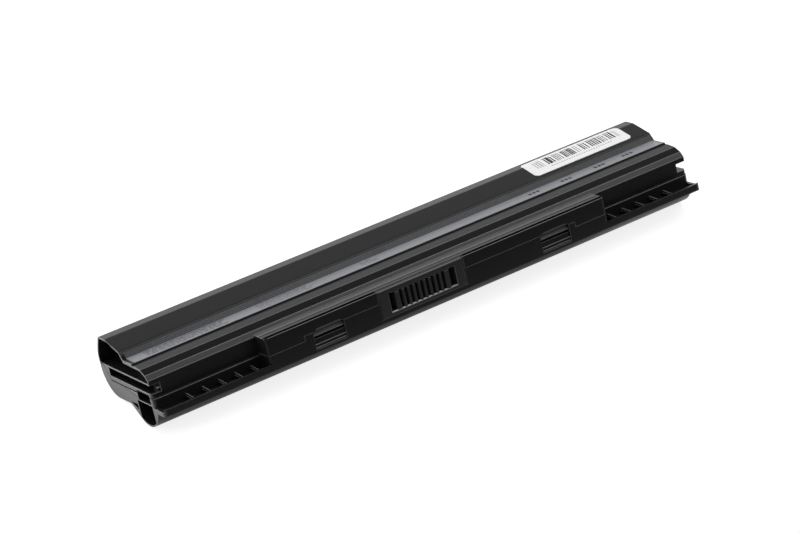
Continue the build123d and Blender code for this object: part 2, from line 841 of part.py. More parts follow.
# Leads from the ears over the front lobe to the top edge of the board
lead_sources = {
    "lead_negative": (strip_lefts[0], board_left + lead_width),
    "lead_low_middle": (strip_lefts[1], strip_lefts[1] + lead_width / 2),
    "lead_high_middle": (strip_lefts[2], strip_lefts[2] + lead_width / 2),
    "lead_positive": (board_right - lead_width, strip_lefts[3] + strip_thickness),
}
for name, (left, right) in lead_sources.items():
    cross_left = left if name == "lead_positive" else right - lead_width
    bend_shift = strip_thickness * tan(atan2(lead_v - board_top_v, lead_drop_u - lead_bend_u) / 2)
    with BuildPart() as lead:
        with BuildSketch(station(cross_left + lead_width)):
            Polygon(
                (ear_back_u, lead_v),
                (lead_bend_u, lead_v),
                (lead_drop_u, board_top_v),
                (board_front_u, board_top_v),
                (board_front_u, board_top_v + strip_thickness),
                (lead_drop_u + bend_shift, board_top_v + strip_thickness),
                (lead_bend_u + bend_shift, lead_v + strip_thickness),
                (ear_back_u, lead_v + strip_thickness),
            )
        extrude(amount=lead_width)
        if right - left > lead_width:
            block(left, right, ear_back_u, ear_front_u, lead_v, lead_v + strip_thickness)
    lead.part.label = name
    export_step(lead.part, f"parts/{name}.step")

# Foam between the back cells and the cover, in the three bays between the ribs
with BuildPart() as foam_pads:
    for middle in cell_middles:
        with BuildSketch(station(middle + foam_half_length)):
            with Locations((back_u, back_v)):
                Circle(inner_back_radius - foam_gap)
            Polygon(
                (foam_back_u, back_v),
                (foam_front_u, back_v),
                (foam_front_u, top_v),
                (foam_back_u, top_v),
                mode=Mode.INTERSECT,
            )
            with Locations(back_cell):
                Circle(cell_radius + foam_gap, mode=Mode.SUBTRACT)
        extrude(amount=2 * foam_half_length)
foam_pads.part.label = "foam_pads"
export_step(foam_pads.part, "parts/foam_pads.step")

# Rating label: one film over the steep field and the flat strip of the valley
field_length = hypot(valley_u - hump_corner_u, hump_corner_v - valley_v)
field_u, field_v = (valley_u - hump_corner_u) / field_length, (valley_v - hump_corner_v) / field_length
label_top = (hump_corner_u + field_u * label_edge, hump_corner_v + field_v * label_edge)
with BuildPart() as rating_label:
    with BuildSketch(station(label_right)):
        Polygon(
            label_top,
            (valley_u, valley_v),
            (strip_front_u - label_margin, valley_v),
            (strip_front_u - label_margin, valley_v + film),
            (valley_u + film * (1 - field_u) / -field_v, valley_v + film),
            (label_top[0] - field_v * film, label_top[1] + field_u * film),
        )
    extrude(amount=label_right - label_left)
rating_label.part.label = "rating_label"
export_step(rating_label.part, "parts/rating_label.step")

# Bar sticker from the flat top over the crest to the slope, with rounded corners
slope_sin, slope_cos = sin(radians(hump_slope)), cos(radians(hump_slope))
sticker_front = (sticker_front_u, slope_height(sticker_front_u))
with BuildPart() as bar_sticker:
    with BuildSketch(station(sticker_right)):
        Polygon(
            (sticker_back_u, top_v),
            (crest_u, top_v),
            sticker_front,
            (sticker_front[0] + film * slope_sin, sticker_front[1] + film * slope_cos),
            (crest_u + film * tan(radians(hump_slope / 2)), top_v + film),
            (sticker_back_u, top_v + film),
        )
    extrude(amount=sticker_right - sticker_left)
    with BuildSketch(facing_up(0)):
        with Locations(((sticker_left + sticker_right) / 2, -(sticker_back_u + sticker_front_u) / 2)):
            RectangleRounded(sticker_right - sticker_left, sticker_front_u - sticker_back_u, sticker_corner)
    extrude(amount=top_v + overshoot, mode=Mode.INTERSECT)
bar_sticker.part.label = "bar_sticker"
export_step(bar_sticker.part, "parts/bar_sticker.step")
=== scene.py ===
"""Dresses the laptop battery pack: its finishes, its print as plain shapes, its edges, and the studio.

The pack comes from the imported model, in metres. Its moulding leans back on the table, and its faces are
square in a frame of their own: x along the pack from its left end, u to the front and v up. Moulding
turns a place in that frame into a place in the model.
"""

from __future__ import annotations

import json
import logging
import math
from collections.abc import Callable, Sequence
from dataclasses import dataclass
from enum import Enum, IntEnum

import bmesh
import bpy
import numpy as np
from mathutils import Matrix, Vector

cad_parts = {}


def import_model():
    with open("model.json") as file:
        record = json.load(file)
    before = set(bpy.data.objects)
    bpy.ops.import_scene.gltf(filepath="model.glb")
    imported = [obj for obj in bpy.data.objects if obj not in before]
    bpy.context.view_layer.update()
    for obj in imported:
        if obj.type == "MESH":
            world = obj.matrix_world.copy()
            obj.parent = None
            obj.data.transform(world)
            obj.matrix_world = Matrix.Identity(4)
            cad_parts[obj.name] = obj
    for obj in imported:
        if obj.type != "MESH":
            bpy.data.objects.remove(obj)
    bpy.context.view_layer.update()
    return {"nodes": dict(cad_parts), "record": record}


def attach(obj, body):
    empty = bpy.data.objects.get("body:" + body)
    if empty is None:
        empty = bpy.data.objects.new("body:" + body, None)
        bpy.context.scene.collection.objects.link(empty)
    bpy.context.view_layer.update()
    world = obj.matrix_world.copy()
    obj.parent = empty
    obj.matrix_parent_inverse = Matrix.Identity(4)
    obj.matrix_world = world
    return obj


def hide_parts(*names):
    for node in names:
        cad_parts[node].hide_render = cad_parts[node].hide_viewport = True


log = logging.getLogger("battery")

MM = 0.001
# Between the step of the CAD's round faces, which stay smooth, and its lowest ridge, which stays an edge
EDGE_ANGLE_DEG = 16.0
# Triangles of the CAD that meet at less than this are one face, and corners that lie closer are one corner
FLAT_ANGLE_DEG = 0.5
MERGE_MM = 0.002
# Steps of a rounded edge, and the place of its painted highlight among the finishes of its moulding
EDGE_STEPS = 2
EDGE_FINISH = 1
# A face looks a zone's way if the cosine of the angle between them is over this
FACING_COSINE = 0.95
# The six faces of a slab with four corners round its foot and four over them
SLAB_FACES = np.array([[0, 1, 2, 3], [4, 7, 6, 5], [0, 4, 5, 1], [1, 5, 6, 2], [2, 6, 7, 3], [3, 7, 4, 0]])
# Octaves of a grain's noise, the strength of each against the one before, and the part of its range in
# which nearly all of its values lie
GRAIN_OCTAVES, GRAIN_FALLOFF = 2.0, 0.6
NOISE_LOW, NOISE_HIGH = 0.3, 0.7
WHITE = "#FFFFFF"

Direction = tuple[float, float, float]


def linear(code: str) -> tuple[float, float, float, float]:
    """Turns an sRGB hex value into linear red, green, blue and an alpha of one.

    Args:
        code: Six hexadecimal digits with a leading hash sign.

    Returns:
        The four channels that a colour socket takes.
    """
    channels = [int(code[i : i + 2], 16) / 255 for i in (1, 3, 5)]
    red, green, blue = (c / 12.92 if c <= 0.04045 else ((c + 0.055) / 1.055) ** 2.4 for c in channels)
    return red, green, blue, 1.0


def add_node(
    tree: bpy.types.NodeTree,
    kind: str,
    settings: dict[str, object] | None = None,
    sockets: dict[str | int, object] | None = None,
) -> bpy.types.Node:
    """Adds a node, sets its properties, and sets or links its inputs.

    Args:
        tree: The node tree that gets the node.
        kind: The node's type name.
        settings: Properties of the node and their values.
        sockets: Inputs by name or number, each with a value or with an output to link from.

    Returns:
        The new node.
    """
    node = tree.nodes.new(kind)
    for name, value in (settings or {}).items():
        setattr(node, name, value)
    for key, value in (sockets or {}).items():
        if isinstance(value, bpy.types.NodeSocket):
            tree.links.new(value, node.inputs[key])
        else:
            node.inputs[key].default_value = value
    return node


def share_along(
    tree: bpy.types.NodeTree,
    place: bpy.types.NodeSocket,
    direction: Direction,
    start: float,
    span: float,
) -> bpy.types.NodeSocket:
    """Measures how far a place lies along a direction, as a share of a span.

    The share is the place's dot product with the direction, less the start, over the span.

    Args:
        tree: The material's node tree.
        place: The Object coordinates.
        direction: A direction of length one.
        start: Where the span starts along it, in metres.
        span: The span's length in metres.

    Returns:
        The output that carries the share.
    """
    along = add_node(
        tree, "ShaderNodeVectorMath", {"operation": "DOT_PRODUCT"}, {0: place, 1: direction}
    ).outputs["Value"]
    return add_node(
        tree, "ShaderNodeMath", {"operation": "MULTIPLY_ADD"}, {0: along, 1: 1 / span, 2: -start / span}
    ).outputs[0]


def set_steps(ramp: bpy.types.Node, steps: Sequence[tuple[float, Sequence[float]]]) -> None:
    """Gives a colour ramp its steps.

    Args:
        ramp: The colour ramp's node.
        steps: Place and colour of each step, from low to high.
    """
    made = ramp.color_ramp.elements
    for place, colour in steps[1:-1]:
        made.new(place).color = colour
    for step, (place, colour) in ((made[0], steps[0]), (made[-1], steps[-1])):
        step.position = place
        step.color = colour


def greys(levels: Sequence[tuple[float, float]]) -> list[tuple[float, tuple[float, ...]]]:
    """Turns places and grey levels into the steps of a ramp."""
    return [(place, (level, level, level, 1.0)) for place, level in levels]


@dataclass(frozen=True)
class Finish:
    """A surface with a fine grain: a base colour that varies a little, and a bump of the same scale.

    The grain is a noise on Object coordinates, so it keeps its real size on every piece.

    Attributes:
        name: The material's name.
        colour: Its middle colour.
        roughness: Its middle roughness.
        specular: The strength of its reflections.
        metallic: One on a metal.
        grain_mm: Size of the grain.
        grain_depth_mm: Depth of the grain.
        colour_change: How far the grain lightens and darkens the colour, as a share.
        roughness_change: How far it raises and lowers the roughness.
        coat: Weight of a clear coat.
        coat_roughness: That coat's roughness.
    """

    name: str
    colour: str
    roughness: float
    specular: float = 0.5
    metallic: float = 0.0
    grain_mm: float = 0.5
    grain_depth_mm: float = 0.01
    colour_change: float = 0.08
    roughness_change: float = 0.06
    coat: float = 0.0
    coat_roughness: float = 0.2

    def material(self) -> bpy.types.Material:
        """Builds the material.

        Returns:
            The new material, with a Principled surface.
        """
        made = bpy.data.materials.new(self.name)
        made.use_nodes = True
        tree = made.node_tree
        tree.nodes.clear()
        place = add_node(tree, "ShaderNodeTexCoord").outputs["Object"]
        grain = add_node(
            tree,
            "ShaderNodeTexNoise",
            sockets={
                "Vector": place,
                "Scale": 1 / (self.grain_mm * MM),
                "Detail": GRAIN_OCTAVES,
                "Roughness": GRAIN_FALLOFF,
            },
        ).outputs["Fac"]
        shade, rough = (
            add_node(
                tree,
                "ShaderNodeMapRange",
                sockets={
                    "Value": grain,
                    "From Min": NOISE_LOW,
                    "From Max": NOISE_HIGH,
                    "To Min": middle - change,
                    "To Max": middle + change,
                },
            ).outputs[0]
            for middle, change in ((1.0, self.colour_change), (self.roughness, self.roughness_change))
        )
        colour = add_node(
            tree,
            "ShaderNodeVectorMath",
            {"operation": "SCALE"},
            {0: self.hue(tree, place), "Scale": shade},
        ).outputs[0]
        bump = add_node(
            tree,
            "ShaderNodeBump",
            sockets={"Height": grain, "Distance": self.grain_depth_mm * MM, "Strength": 1.0},
        ).outputs[0]
        surface = add_node(
            tree,
            "ShaderNodeBsdfPrincipled",
            sockets={
                "Base Color": colour,
                "Metallic": self.metallic,
                "Roughness": rough,
                "Specular IOR Level": self.shine(tree, place),
                "Coat Weight": self.coat,
                "Coat Roughness": self.coat_roughness,
                "Normal": bump,
            },
        ).outputs[0]
        add_node(tree, "ShaderNodeOutputMaterial", sockets={"Surface": surface})
        return made

    def hue(
        self, tree: bpy.types.NodeTree, place: bpy.types.NodeSocket
    ) -> tuple[float, ...] | bpy.types.NodeSocket:
        """Gives the colour that the grain then shades.

        Args:
            tree: The material's node tree.
            place: The Object coordinates.

        Returns:
            A plain colour, or the output that carries it.
        """
        return linear(self.colour)[:3]

    def shine(
        self, tree: bpy.types.NodeTree, place: bpy.types.NodeSocket
    ) -> float | bpy.types.NodeSocket:
        """Gives the strength of the surface's reflections.

        Args:
            tree: The material's node tree.
            place: The Object coordinates.

        Returns:
            A plain value, or the output that carries it.
        """
        return self.specular


@dataclass(frozen=True, kw_only=True)
class JointedPlastic(Finish):
    """Plastic with a dark line along the joint in its end faces: painted shade, made by taking its sheen
    away.

    The joint runs through corners in the section. A ramp over u gives its v, and a place belongs to it
    where it lies close to that v and close to an end.

    Attributes:
        front: The direction in which the moulding's u grows.
        up: The direction in which its v grows.
        origin: Distances of the moulding's origin along both, in metres.
        corner_u: Corners of the joint along u, in millimetres, from the back.
        corner_v: The same corners along v.
        half_width_mm: Half the width of the dark line.
        end_x_mm: Distance from the middle beyond which a place belongs to an end face.
    """

    front: Direction
    up: Direction
    origin: tuple[float, float]
    corner_u: tuple[float, ...]
    corner_v: tuple[float, ...]
    half_width_mm: float = 0.24
    end_x_mm: float = 130.95

    def shine(self, tree: bpy.types.NodeTree, place: bpy.types.NodeSocket) -> bpy.types.NodeSocket:
        """Takes the reflections away along the joint.

        Args:
            tree: The material's node tree.
            place: The Object coordinates.

        Returns:
            The output that carries the strength.
        """
        lowest, rise = min(self.corner_v), max(self.corner_v) - min(self.corner_v)
        first, length = self.corner_u[0], self.corner_u[-1] - self.corner_u[0]
        across = share_along(tree, place, self.front, self.origin[0] + first * MM, length * MM)
        height = share_along(tree, place, self.up, self.origin[1] + lowest * MM, rise * MM)
        ramp = add_node(tree, "ShaderNodeValToRGB", sockets={0: across})
        corners = zip(self.corner_u, self.corner_v)
        set_steps(ramp, greys([((u - first) / length, (v - lowest) / rise) for u, v in corners]))
        close = add_node(
            tree,
            "ShaderNodeMath",
            {"operation": "COMPARE"},
            {0: height, 1: ramp.outputs[0], 2: self.half_width_mm / rise},
        ).outputs[0]
        x = add_node(tree, "ShaderNodeSeparateXYZ", sockets={0: place}).outputs["X"]
        aside = add_node(tree, "ShaderNodeMath", {"operation": "ABSOLUTE"}, {0: x}).outputs[0]
        at_end = add_node(
            tree, "ShaderNodeMath", {"operation": "GREATER_THAN"}, {0: aside, 1: self.end_x_mm * MM}
        ).outputs[0]
        joint = add_node(tree, "ShaderNodeMath", {"operation": "MULTIPLY"}, {0: close, 1: at_end}).outputs[0]
        return add_node(
            tree,
            "ShaderNodeMath",
            {"operation": "MULTIPLY_ADD"},
            {0: joint, 1: -self.specular, 2: self.specular},
        ).outputs[0]


@dataclass(frozen=True, kw_only=True)
class TwoFieldFilm(Finish):
    """Printed polyester film with one colour behind a line of the moulding and another in front of it.

    Attributes:
        front_colour: The colour in front of the line.
        front: The direction in which the moulding's u grows.
        line: The distance of the line along that direction, in metres.
    """

    front_colour: str
    front: Direction
    line: float

    def hue(self, tree: bpy.types.NodeTree, place: bpy.types.NodeSocket) -> bpy.types.NodeSocket:
        """Chooses the field by the side of the line on which a place lies.

        Args:
            tree: The material's node tree.
            place: The Object coordinates.

        Returns:
            The output that carries the field's colour.
        """
        ahead = share_along(tree, place, self.front, self.line, MM)
        side = add_node(tree, "ShaderNodeMath", {"operation": "GREATER_THAN"}, {0: ahead, 1: 0.0}).outputs[0]
        return add_node(
            tree,
            "ShaderNodeMix",
            {"data_type": "RGBA"},
            {"Factor": side, 6: linear(self.colour), 7: linear(self.front_colour)},
        ).outputs[2]


@dataclass(frozen=True, kw_only=True)
class PaintedBandPlastic(Finish):
    """Plastic of a top face in bands along u: painted reflections, and painted shade beside its grooves.

    Attributes:
        front: The direction in which the moulding's u grows.
        origin: The distance of the moulding's origin along it, in metres.
        bands: For each band the u where it starts, its colour and the strength of its reflections.
        last_u: The u where the last band ends.
    """

    front: Direction
    origin: float
    bands: tuple[tuple[float, str, float], ...] = (
        (19.0, "#565657", 0.45),
        (24.4, "#080808", 0.0),
        (25.0, "#2C2C2D", 0.35),
        (27.2, "#020202", 0.0),
    )
    last_u: float = 29.5

    def banded(self, tree: bpy.types.NodeTree, place: bpy.types.NodeSocket) -> bpy.types.Node:
        """Adds a ramp over u that holds each band's colour, and the strength of its reflections as alpha.

        Args:
            tree: The material's node tree.
            place: The Object coordinates.

        Returns:
            The ramp.
        """
        first = self.bands[0][0]
        span = self.last_u - first
        share = share_along(tree, place, self.front, self.origin + first * MM, span * MM)
        ramp = add_node(tree, "ShaderNodeValToRGB", sockets={0: share})
        ramp.color_ramp.interpolation = "CONSTANT"
        set_steps(ramp, [((u - first) / span, (*linear(code)[:3], level)) for u, code, level in self.bands])
        return ramp

    def hue(self, tree: bpy.types.NodeTree, place: bpy.types.NodeSocket) -> bpy.types.NodeSocket:
        """Gives the band's colour."""
        return self.banded(tree, place).outputs["Color"]

    def shine(self, tree: bpy.types.NodeTree, place: bpy.types.NodeSocket) -> bpy.types.NodeSocket:
        """Gives the strength of the band's reflections."""
        return self.banded(tree, place).outputs["Alpha"]


# The case's plastic on the latches' pads, with less sheen
CASE_PAD = Finish("case_rubbed_pad", "#161617", 0.34, specular=0.35, grain_mm=0.45, grain_depth_mm=0.005)
# In the latches' recesses a pale grey: painted light where they lie in shade
CASE_RECESS = Finish("case_recess_painted_light", "#545456", 0.4, grain_mm=0.45, grain_depth_mm=0.005)
# The same plastic on its rounded edges, lighter and smoother: a painted highlight along them
CASE_EDGE = Finish("case_edge_painted_highlight", "#6A6A6C", 0.3, grain_mm=0.45, grain_depth_mm=0.003)
# Glass-filled nylon of the connector: a little lighter, with a coarser and duller grain than the case
CONNECTOR_PLASTIC = Finish(
    "connector_filled_nylon", "#28282A", 0.4, grain_mm=0.7, grain_depth_mm=0.01, colour_change=0.1
)
# The slanted lip between its fins, pale: a painted highlight
CONNECTOR_LIP = Finish("connector_lip_painted_highlight", "#A2A2A4", 0.4, grain_mm=0.7, grain_depth_mm=0.004)
# Its rounded edges, lighter: a painted highlight
CONNECTOR_EDGE = Finish("connector_edge_painted_highlight", "#747476", 0.35, grain_mm=0.7, grain_depth_mm=0.004)
# Tinned bronze, stamped and dull
CONTACT_TIN = Finish("contact_dull_tin", "#5A5652", 0.4, metallic=1.0, grain_mm=0.3, grain_depth_mm=0.002)


class CaseFinish(IntEnum):
    """The finishes of the case's mouldings, by their places among a piece's materials."""

    PLASTIC = 0
    EDGE = EDGE_FINISH
    TOP = 2
    RECESS = 3
    PAD = 4


class CombFinish(IntEnum):
    """The finishes of the connector's housing, by their places among its materials."""

    PLASTIC = 0
    EDGE = EDGE_FINISH
    LIP = 2


class Side(Enum):
    """The two faces of the moulding that carry print."""

    STEEP = "steep"
    FLAT = "flat"


class Ink(Enum):
    """The inks of the rating label, each a piece of its own."""

    LIGHT = "print_light"
    DARK = "print_dark"
    PALE = "print_pale"
    MARKS = "marks"
    # Not an ink: a painted shade line along the steep field's upper edge, laid as ink is
    PAINTED_EDGE_SHADE = "painted_edge_shade"


@dataclass
class Moulding:
    """The moulding's own frame, read from the pack's front face.

    Attributes:
        axis: Outward normal of the front face, the direction in which u grows.
        anchor: A known place on the front face, in metres.
        anchor_mm: The same place in the moulding's frame: x, u and v in millimetres.
    """

    axis: np.ndarray
    anchor: np.ndarray
    anchor_mm: tuple[float, float, float] = (160.0, 29.4, -3.0)

    @classmethod
    def from_record(cls, record: dict) -> Moulding:
        """Reads the frame from the record's mating face.

        Args:
            record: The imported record.

        Returns:
            The moulding's frame.
        """
        face = next(m for m in record["mounts"] if m["name"] == "mating_face")
        axis = np.array(face["axis"], float)
        return cls(axis / np.linalg.norm(axis), np.array(face["pos_m"], float))

    @property
    def up(self) -> np.ndarray:
        """The direction in which v grows."""
        return np.array([0.0, self.axis[2], -self.axis[1]])

    def place(self, x: np.ndarray, u: np.ndarray, v: np.ndarray) -> np.ndarray:
        """Turns places of the moulding's frame into places of the model.

        The place is the anchor plus the differences along x, u and v, each along its own direction.

        Args:
            x: Millimetres from the pack's left end.
            u: Millimetres to the front.
            v: Millimetres up.

        Returns:
            An array of the same shape with three coordinates in metres along its last axis.
        """
        x, u, v = np.broadcast_arrays(x, u, v)
        steps = np.stack([x - self.anchor_mm[0], u - self.anchor_mm[1], v - self.anchor_mm[2]], axis=-1) * MM
        return self.anchor + steps @ np.array([[1.0, 0.0, 0.0], self.axis, self.up])

    def locate(self, places: np.ndarray) -> np.ndarray:
        """Turns places of the model into places of the moulding's frame: the reverse of place.

        Args:
            places: Places in metres, three coordinates along the last axis.

        Returns:
            An array of the same shape with x, u and v in millimetres.
        """
        axes = np.array([[1.0, 0.0, 0.0], self.axis, self.up])
        return (places - self.anchor) / MM @ axes.T + np.array(self.anchor_mm)

    def origin_reach(self) -> tuple[float, float]:
        """Distances of the moulding's origin along the front and up directions, in metres."""
        origin = self.place(np.array(0.0), np.array(0.0), np.array(0.0))
        return float(origin @ self.axis), float(origin @ self.up)

    def level(self, u: float) -> float:
        """The distance along the front direction of a line at u, in metres."""
        return float(self.place(np.array(0.0), np.array(u), np.array(0.0)) @ self.axis)


def new_object(name: str, vertices: np.ndarray, faces: Sequence[Sequence[int]]) -> bpy.types.Object:
    """Makes a mesh object at the origin from arrays.

    Args:
        name: The piece's name.
        vertices: Places in metres, three to a row.
        faces: Corner numbers of each face, outwards by the right-hand rule.

    Returns:
        The linked object.
    """
    mesh = bpy.data.meshes.new(name)
    mesh.from_pydata(vertices.reshape(-1, 3).tolist(), [], np.asarray(faces).tolist())
    mesh.validate()
    made = bpy.data.objects.new(name, mesh)
    bpy.context.scene.collection.objects.link(made)
    return made


def new_slabs(name: str, corners: np.ndarray) -> bpy.types.Object:
    """Makes thin closed slabs in one object.

    Args:
        name: The piece's name.
        corners: Places in metres of each slab's eight corners, four round its foot and four over them.

    Returns:
        The object, with its faces turned outwards.
    """
    faces = (SLAB_FACES[None] + np.arange(len(corners))[:, None, None] * 8).reshape(-1, 4)
    made = new_object(name, corners, faces)
    work = bmesh.new()
    work.from_mesh(made.data)
    bmesh.ops.recalc_face_normals(work, faces=work.faces)
    work.to_mesh(made.data)
    work.free()
    return made


def ink_patches(
    name: str,
    patches: np.ndarray,
    surface: Callable[[np.ndarray, np.ndarray, np.ndarray], np.ndarray],
    height_mm: float,
) -> bpy.types.Object:
    """Lays a thin closed slab on a surface for each patch: its corners at no height, and at the ink's.

    Args:
        name: The piece's name.
        patches: Rows of x from, x to, s from and s to, in millimetres.
        surface: Gives places in metres from x, s and a height over the surface, in millimetres.
        height_mm: The slabs' thickness.

    Returns:
        One object that holds all the slabs.
    """
    x, s = patches[:, [0, 1, 1, 0] * 2], patches[:, [2, 2, 3, 3] * 2]
    return new_slabs(name, surface(x, s, np.repeat([0.0, height_mm], 4)))


def softened_copy(
    node: bpy.types.Object,
    width_mm: float,
    edge_highlight: Callable[[np.ndarray, np.ndarray], np.ndarray],
) -> bpy.types.Object:
    """Copies a CAD node, joins its loose triangles and rounds its worn edges a little.

    Args:
        node: The CAD node's object.
        width_mm: How wide the rounding of an edge with a full share is.
        edge_highlight: Gives the share of that width, from the middles of edges in metres and from whether
        each of them stands out. An edge with none stays as sharp as it is and gets no painted highlight.

    Returns:
        The copy, at the origin.
    """
    work = bmesh.new()
    work.from_mesh(node.data)
    bmesh.ops.remove_doubles(work, verts=work.verts, dist=MERGE_MM * MM)
    flat = math.radians(FLAT_ANGLE_DEG)
    bmesh.ops.dissolve_limit(work, angle_limit=flat, verts=work.verts, edges=work.edges, delimit={"NORMAL"})
    weight = work.edges.layers.float.new("bevel_weight_edge")
    ridges = [e for e in work.edges if e.calc_face_angle(0.0) > math.radians(EDGE_ANGLE_DEG)]
    middles = np.array([(e.verts[0].co + e.verts[1].co) / 2 for e in ridges]).reshape(-1, 3)
    for face in work.faces:
        face.smooth = True
    for edge, share in zip(ridges, edge_highlight(middles, np.array([e.is_convex for e in ridges]))):
        edge[weight] = share
        edge.smooth = share > 0
    mesh = bpy.data.meshes.new(node.name + "_dressed")
    work.to_mesh(mesh)
    work.free()
    made = bpy.data.objects.new(node.name + "_dressed", mesh)
    bpy.context.scene.collection.objects.link(made)
    bevel = made.modifiers.new("edge", "BEVEL")
    bevel.width = width_mm * MM
    bevel.segments = EDGE_STEPS
    bevel.limit_method = "WEIGHT"
    bevel.use_clamp_overlap = False
    # The rounding takes the lighter edge finish: a painted highlight along the edges
    bevel.material = EDGE_FINISH
    flats = made.modifiers.new("flats", "WEIGHTED_NORMAL")
    flats.mode = "FACE_AREA"
    flats.keep_sharp = True
    return made


def finish_piece(
    piece: bpy.types.Object, materials: Sequence[bpy.types.Material], replaced: Sequence[str] = ()
) -> None:
    """Gives a new piece its materials and lets it ride with the pack.

    Args:
        piece: The piece.
        materials: Its finish, and after it that of its edges where they differ.
        replaced: CAD nodes that the piece stands for.
    """
    piece.data.materials.clear()
    for material in materials:
        piece.data.materials.append(material)
    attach(piece, "root")
    if replaced:
        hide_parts(*replaced)
    log.info("piece %s: %d faces", piece.name, len(piece.data.polygons))


def dress_node(node: bpy.types.Object, material: bpy.types.Material) -> None:
    """Puts a material in every slot of a CAD node.

    Args:
        node: The CAD node's object.
        material: The material.
    """
    if not node.material_slots:
        node.data.materials.append(material)
    for place in node.material_slots:
        place.material = material


@dataclass(frozen=True)
class Zone:
    """A box of the moulding's frame in which the faces that look one way have a finish of their own.

    Attributes:
        low: Least x, u and v of the faces' middles.
        high: Greatest x, u and v.
        facing: The way they look, along u and along v.
        finish: Their finish.
    """

    low: tuple[float, float, float]
    high: tuple[float, float, float]
    facing: tuple[float, float]
    finish: CaseFinish | CombFinish


@dataclass
class Casing:
    """The two mouldings of the case and the connector's housing, with their edges broken.

    Attributes:
        moulding: The moulding's frame.
        edge_mm: Width of the case's broken edges.
        comb_edge_mm: Width of the connector's.
        groove_zones: Ranges of u, each with the v over which it counts, in which grooves keep dark edges
        with no painted highlight.
        foot: Place in the section of the ridge's foot, an inner edge that gets the painted highlight all the
            same.
        foot_reach: How far from it an edge still belongs to it.
        front_zone: The u behind and the v over the block's front, and the share of rounding and highlight of
            its edges.
        latches: The middle between the two latch recesses, their distance from it and half their width.
        pad_zone: The u beyond which and the v below which the ribs of a latch's pad lie.
        seam_u: Corners of the parting line in the end faces, along u.
        seam_v: The same corners, along v.
        seam_reach: How far from that line an edge still belongs to it.
        end_reach: How far from an end an edge still belongs to the end face.
        length: The pack's length.
        rib_first: Left face of the first rib's crown in the left trough.
        rib_pitch: Distance between ribs.
        rib_count: Ribs in each trough.
        rib_mm: Thickness of a crown.
        rib_span: The u between which a crown reaches.
        rib_foot: The v of a crown's foot, inside the rib.
        rib_tops: The v of its top at the wall and at the rail.
        case_zones: Zones of the case: the block's top with its painted reflection and shade, its front edge
        with a painted highlight, and in both latches the arch and the ramp with painted light, and the pad.
        crown_zones: Zones of the ribs' crowns: their tops, with a painted highlight.
        comb_zones: Zones of the connector: the lip, with a painted highlight.
    """

    moulding: Moulding
    edge_mm: float = 0.16
    comb_edge_mm: float = 0.12
    groove_zones: tuple[tuple[float, float, float], ...] = ((8.5, 11.0, 8.0), (24.0, 28.0, 5.0))
    foot: tuple[float, float] = (20.4, 5.6)
    foot_reach: float = 0.5
    front_zone: tuple[float, float, float] = (25.0, 5.0, 0.45)
    latches: tuple[float, float, float] = (131.45, 55.25, 7.0)
    pad_zone: tuple[float, float] = (28.9, -4.0)
    seam_u: tuple[float, ...] = (-19.8, -18.0, -15.1, 20.8)
    seam_v: tuple[float, ...] = (3.3, 1.5, -2.6, -2.6)
    seam_reach: float = 0.3
    end_reach: float = 0.6
    length: float = 262.0
    rib_first: float = 13.7
    rib_pitch: float = 7.35
    rib_count: int = 5
    rib_mm: float = 0.5
    rib_span: tuple[float, float] = (21.2, 28.2)
    rib_foot: float = -6.25
    rib_tops: tuple[float, float] = (-5.35, -5.75)
    case_zones: tuple[Zone, ...] = (
        Zone((48.0, 20.0, 5.25), (213.5, 29.1, 5.9), (0.0, 1.0), CaseFinish.TOP),
        Zone((48.0, 28.9, 5.1), (213.5, 29.45, 5.65), (0.707, 0.707), CaseFinish.EDGE),
        Zone((68.5, 28.0, 0.3), (84.0, 28.8, 1.4), (1.0, 0.0), CaseFinish.RECESS),
        Zone((179.0, 28.0, 0.3), (194.5, 28.8, 1.4), (1.0, 0.0), CaseFinish.RECESS),
        Zone((68.5, 25.5, -1.6), (84.0, 28.8, 0.5), (0.62, 0.78), CaseFinish.RECESS),
        Zone((179.0, 25.5, -1.6), (194.5, 28.8, 0.5), (0.62, 0.78), CaseFinish.RECESS),
        Zone((68.5, 28.5, -7.0), (84.0, 29.2, -2.0), (1.0, 0.0), CaseFinish.PAD),
        Zone((179.0, 28.5, -7.0), (194.5, 29.2, -2.0), (1.0, 0.0), CaseFinish.PAD),
    )
    crown_zones: tuple[Zone, ...] = (
        Zone((0.0, 21.0, -6.0), (262.0, 28.4, -5.0), (0.0, 1.0), CaseFinish.EDGE),
    )
    comb_zones: tuple[Zone, ...] = (
        Zone((100.0, 29.3, -5.1), (142.0, 30.0, -4.4), (0.707, 0.707), CombFinish.LIP),
    )

    def edge_highlight(self, middles: np.ndarray, outer: np.ndarray) -> np.ndarray:
        """Gives the rounding of the case's edges, which carries their painted highlight.

        The edges that stand out get it, and never the bottom of a groove. The edges of the narrow
        grooves and of the parting line in the end faces get none and stay dark lines, and the block's
        front gets less than the rest.

        Args:
            middles: Middles of edges, in metres.
            outer: True for each edge that stands out.

        Returns:
            The share of each edge, from none to one.
        """
        x, u, v = self.moulding.locate(middles).T
        back, top, share = self.front_zone
        highlight = np.where(outer, np.where((u > back) & (v < top), share, 1.0), 0.0)
        highlight[np.hypot(u - self.foot[0], v - self.foot[1]) < self.foot_reach] = 1.0
        in_latch = np.abs(np.abs(x - self.latches[0]) - self.latches[1]) < self.latches[2]
        highlight[in_latch & outer & (u > self.pad_zone[0]) & (v < self.pad_zone[1])] = 1.0
        for back, front, low in self.groove_zones:
            highlight[(u > back) & (u < front) & (v > low)] = 0.0
        at_end = np.minimum(np.abs(x), np.abs(self.length - x)) < self.end_reach
        on_seam = np.abs(v - np.interp(u, self.seam_u, self.seam_v)) < self.seam_reach
        highlight[at_end & on_seam] = 0.0
        return highlight

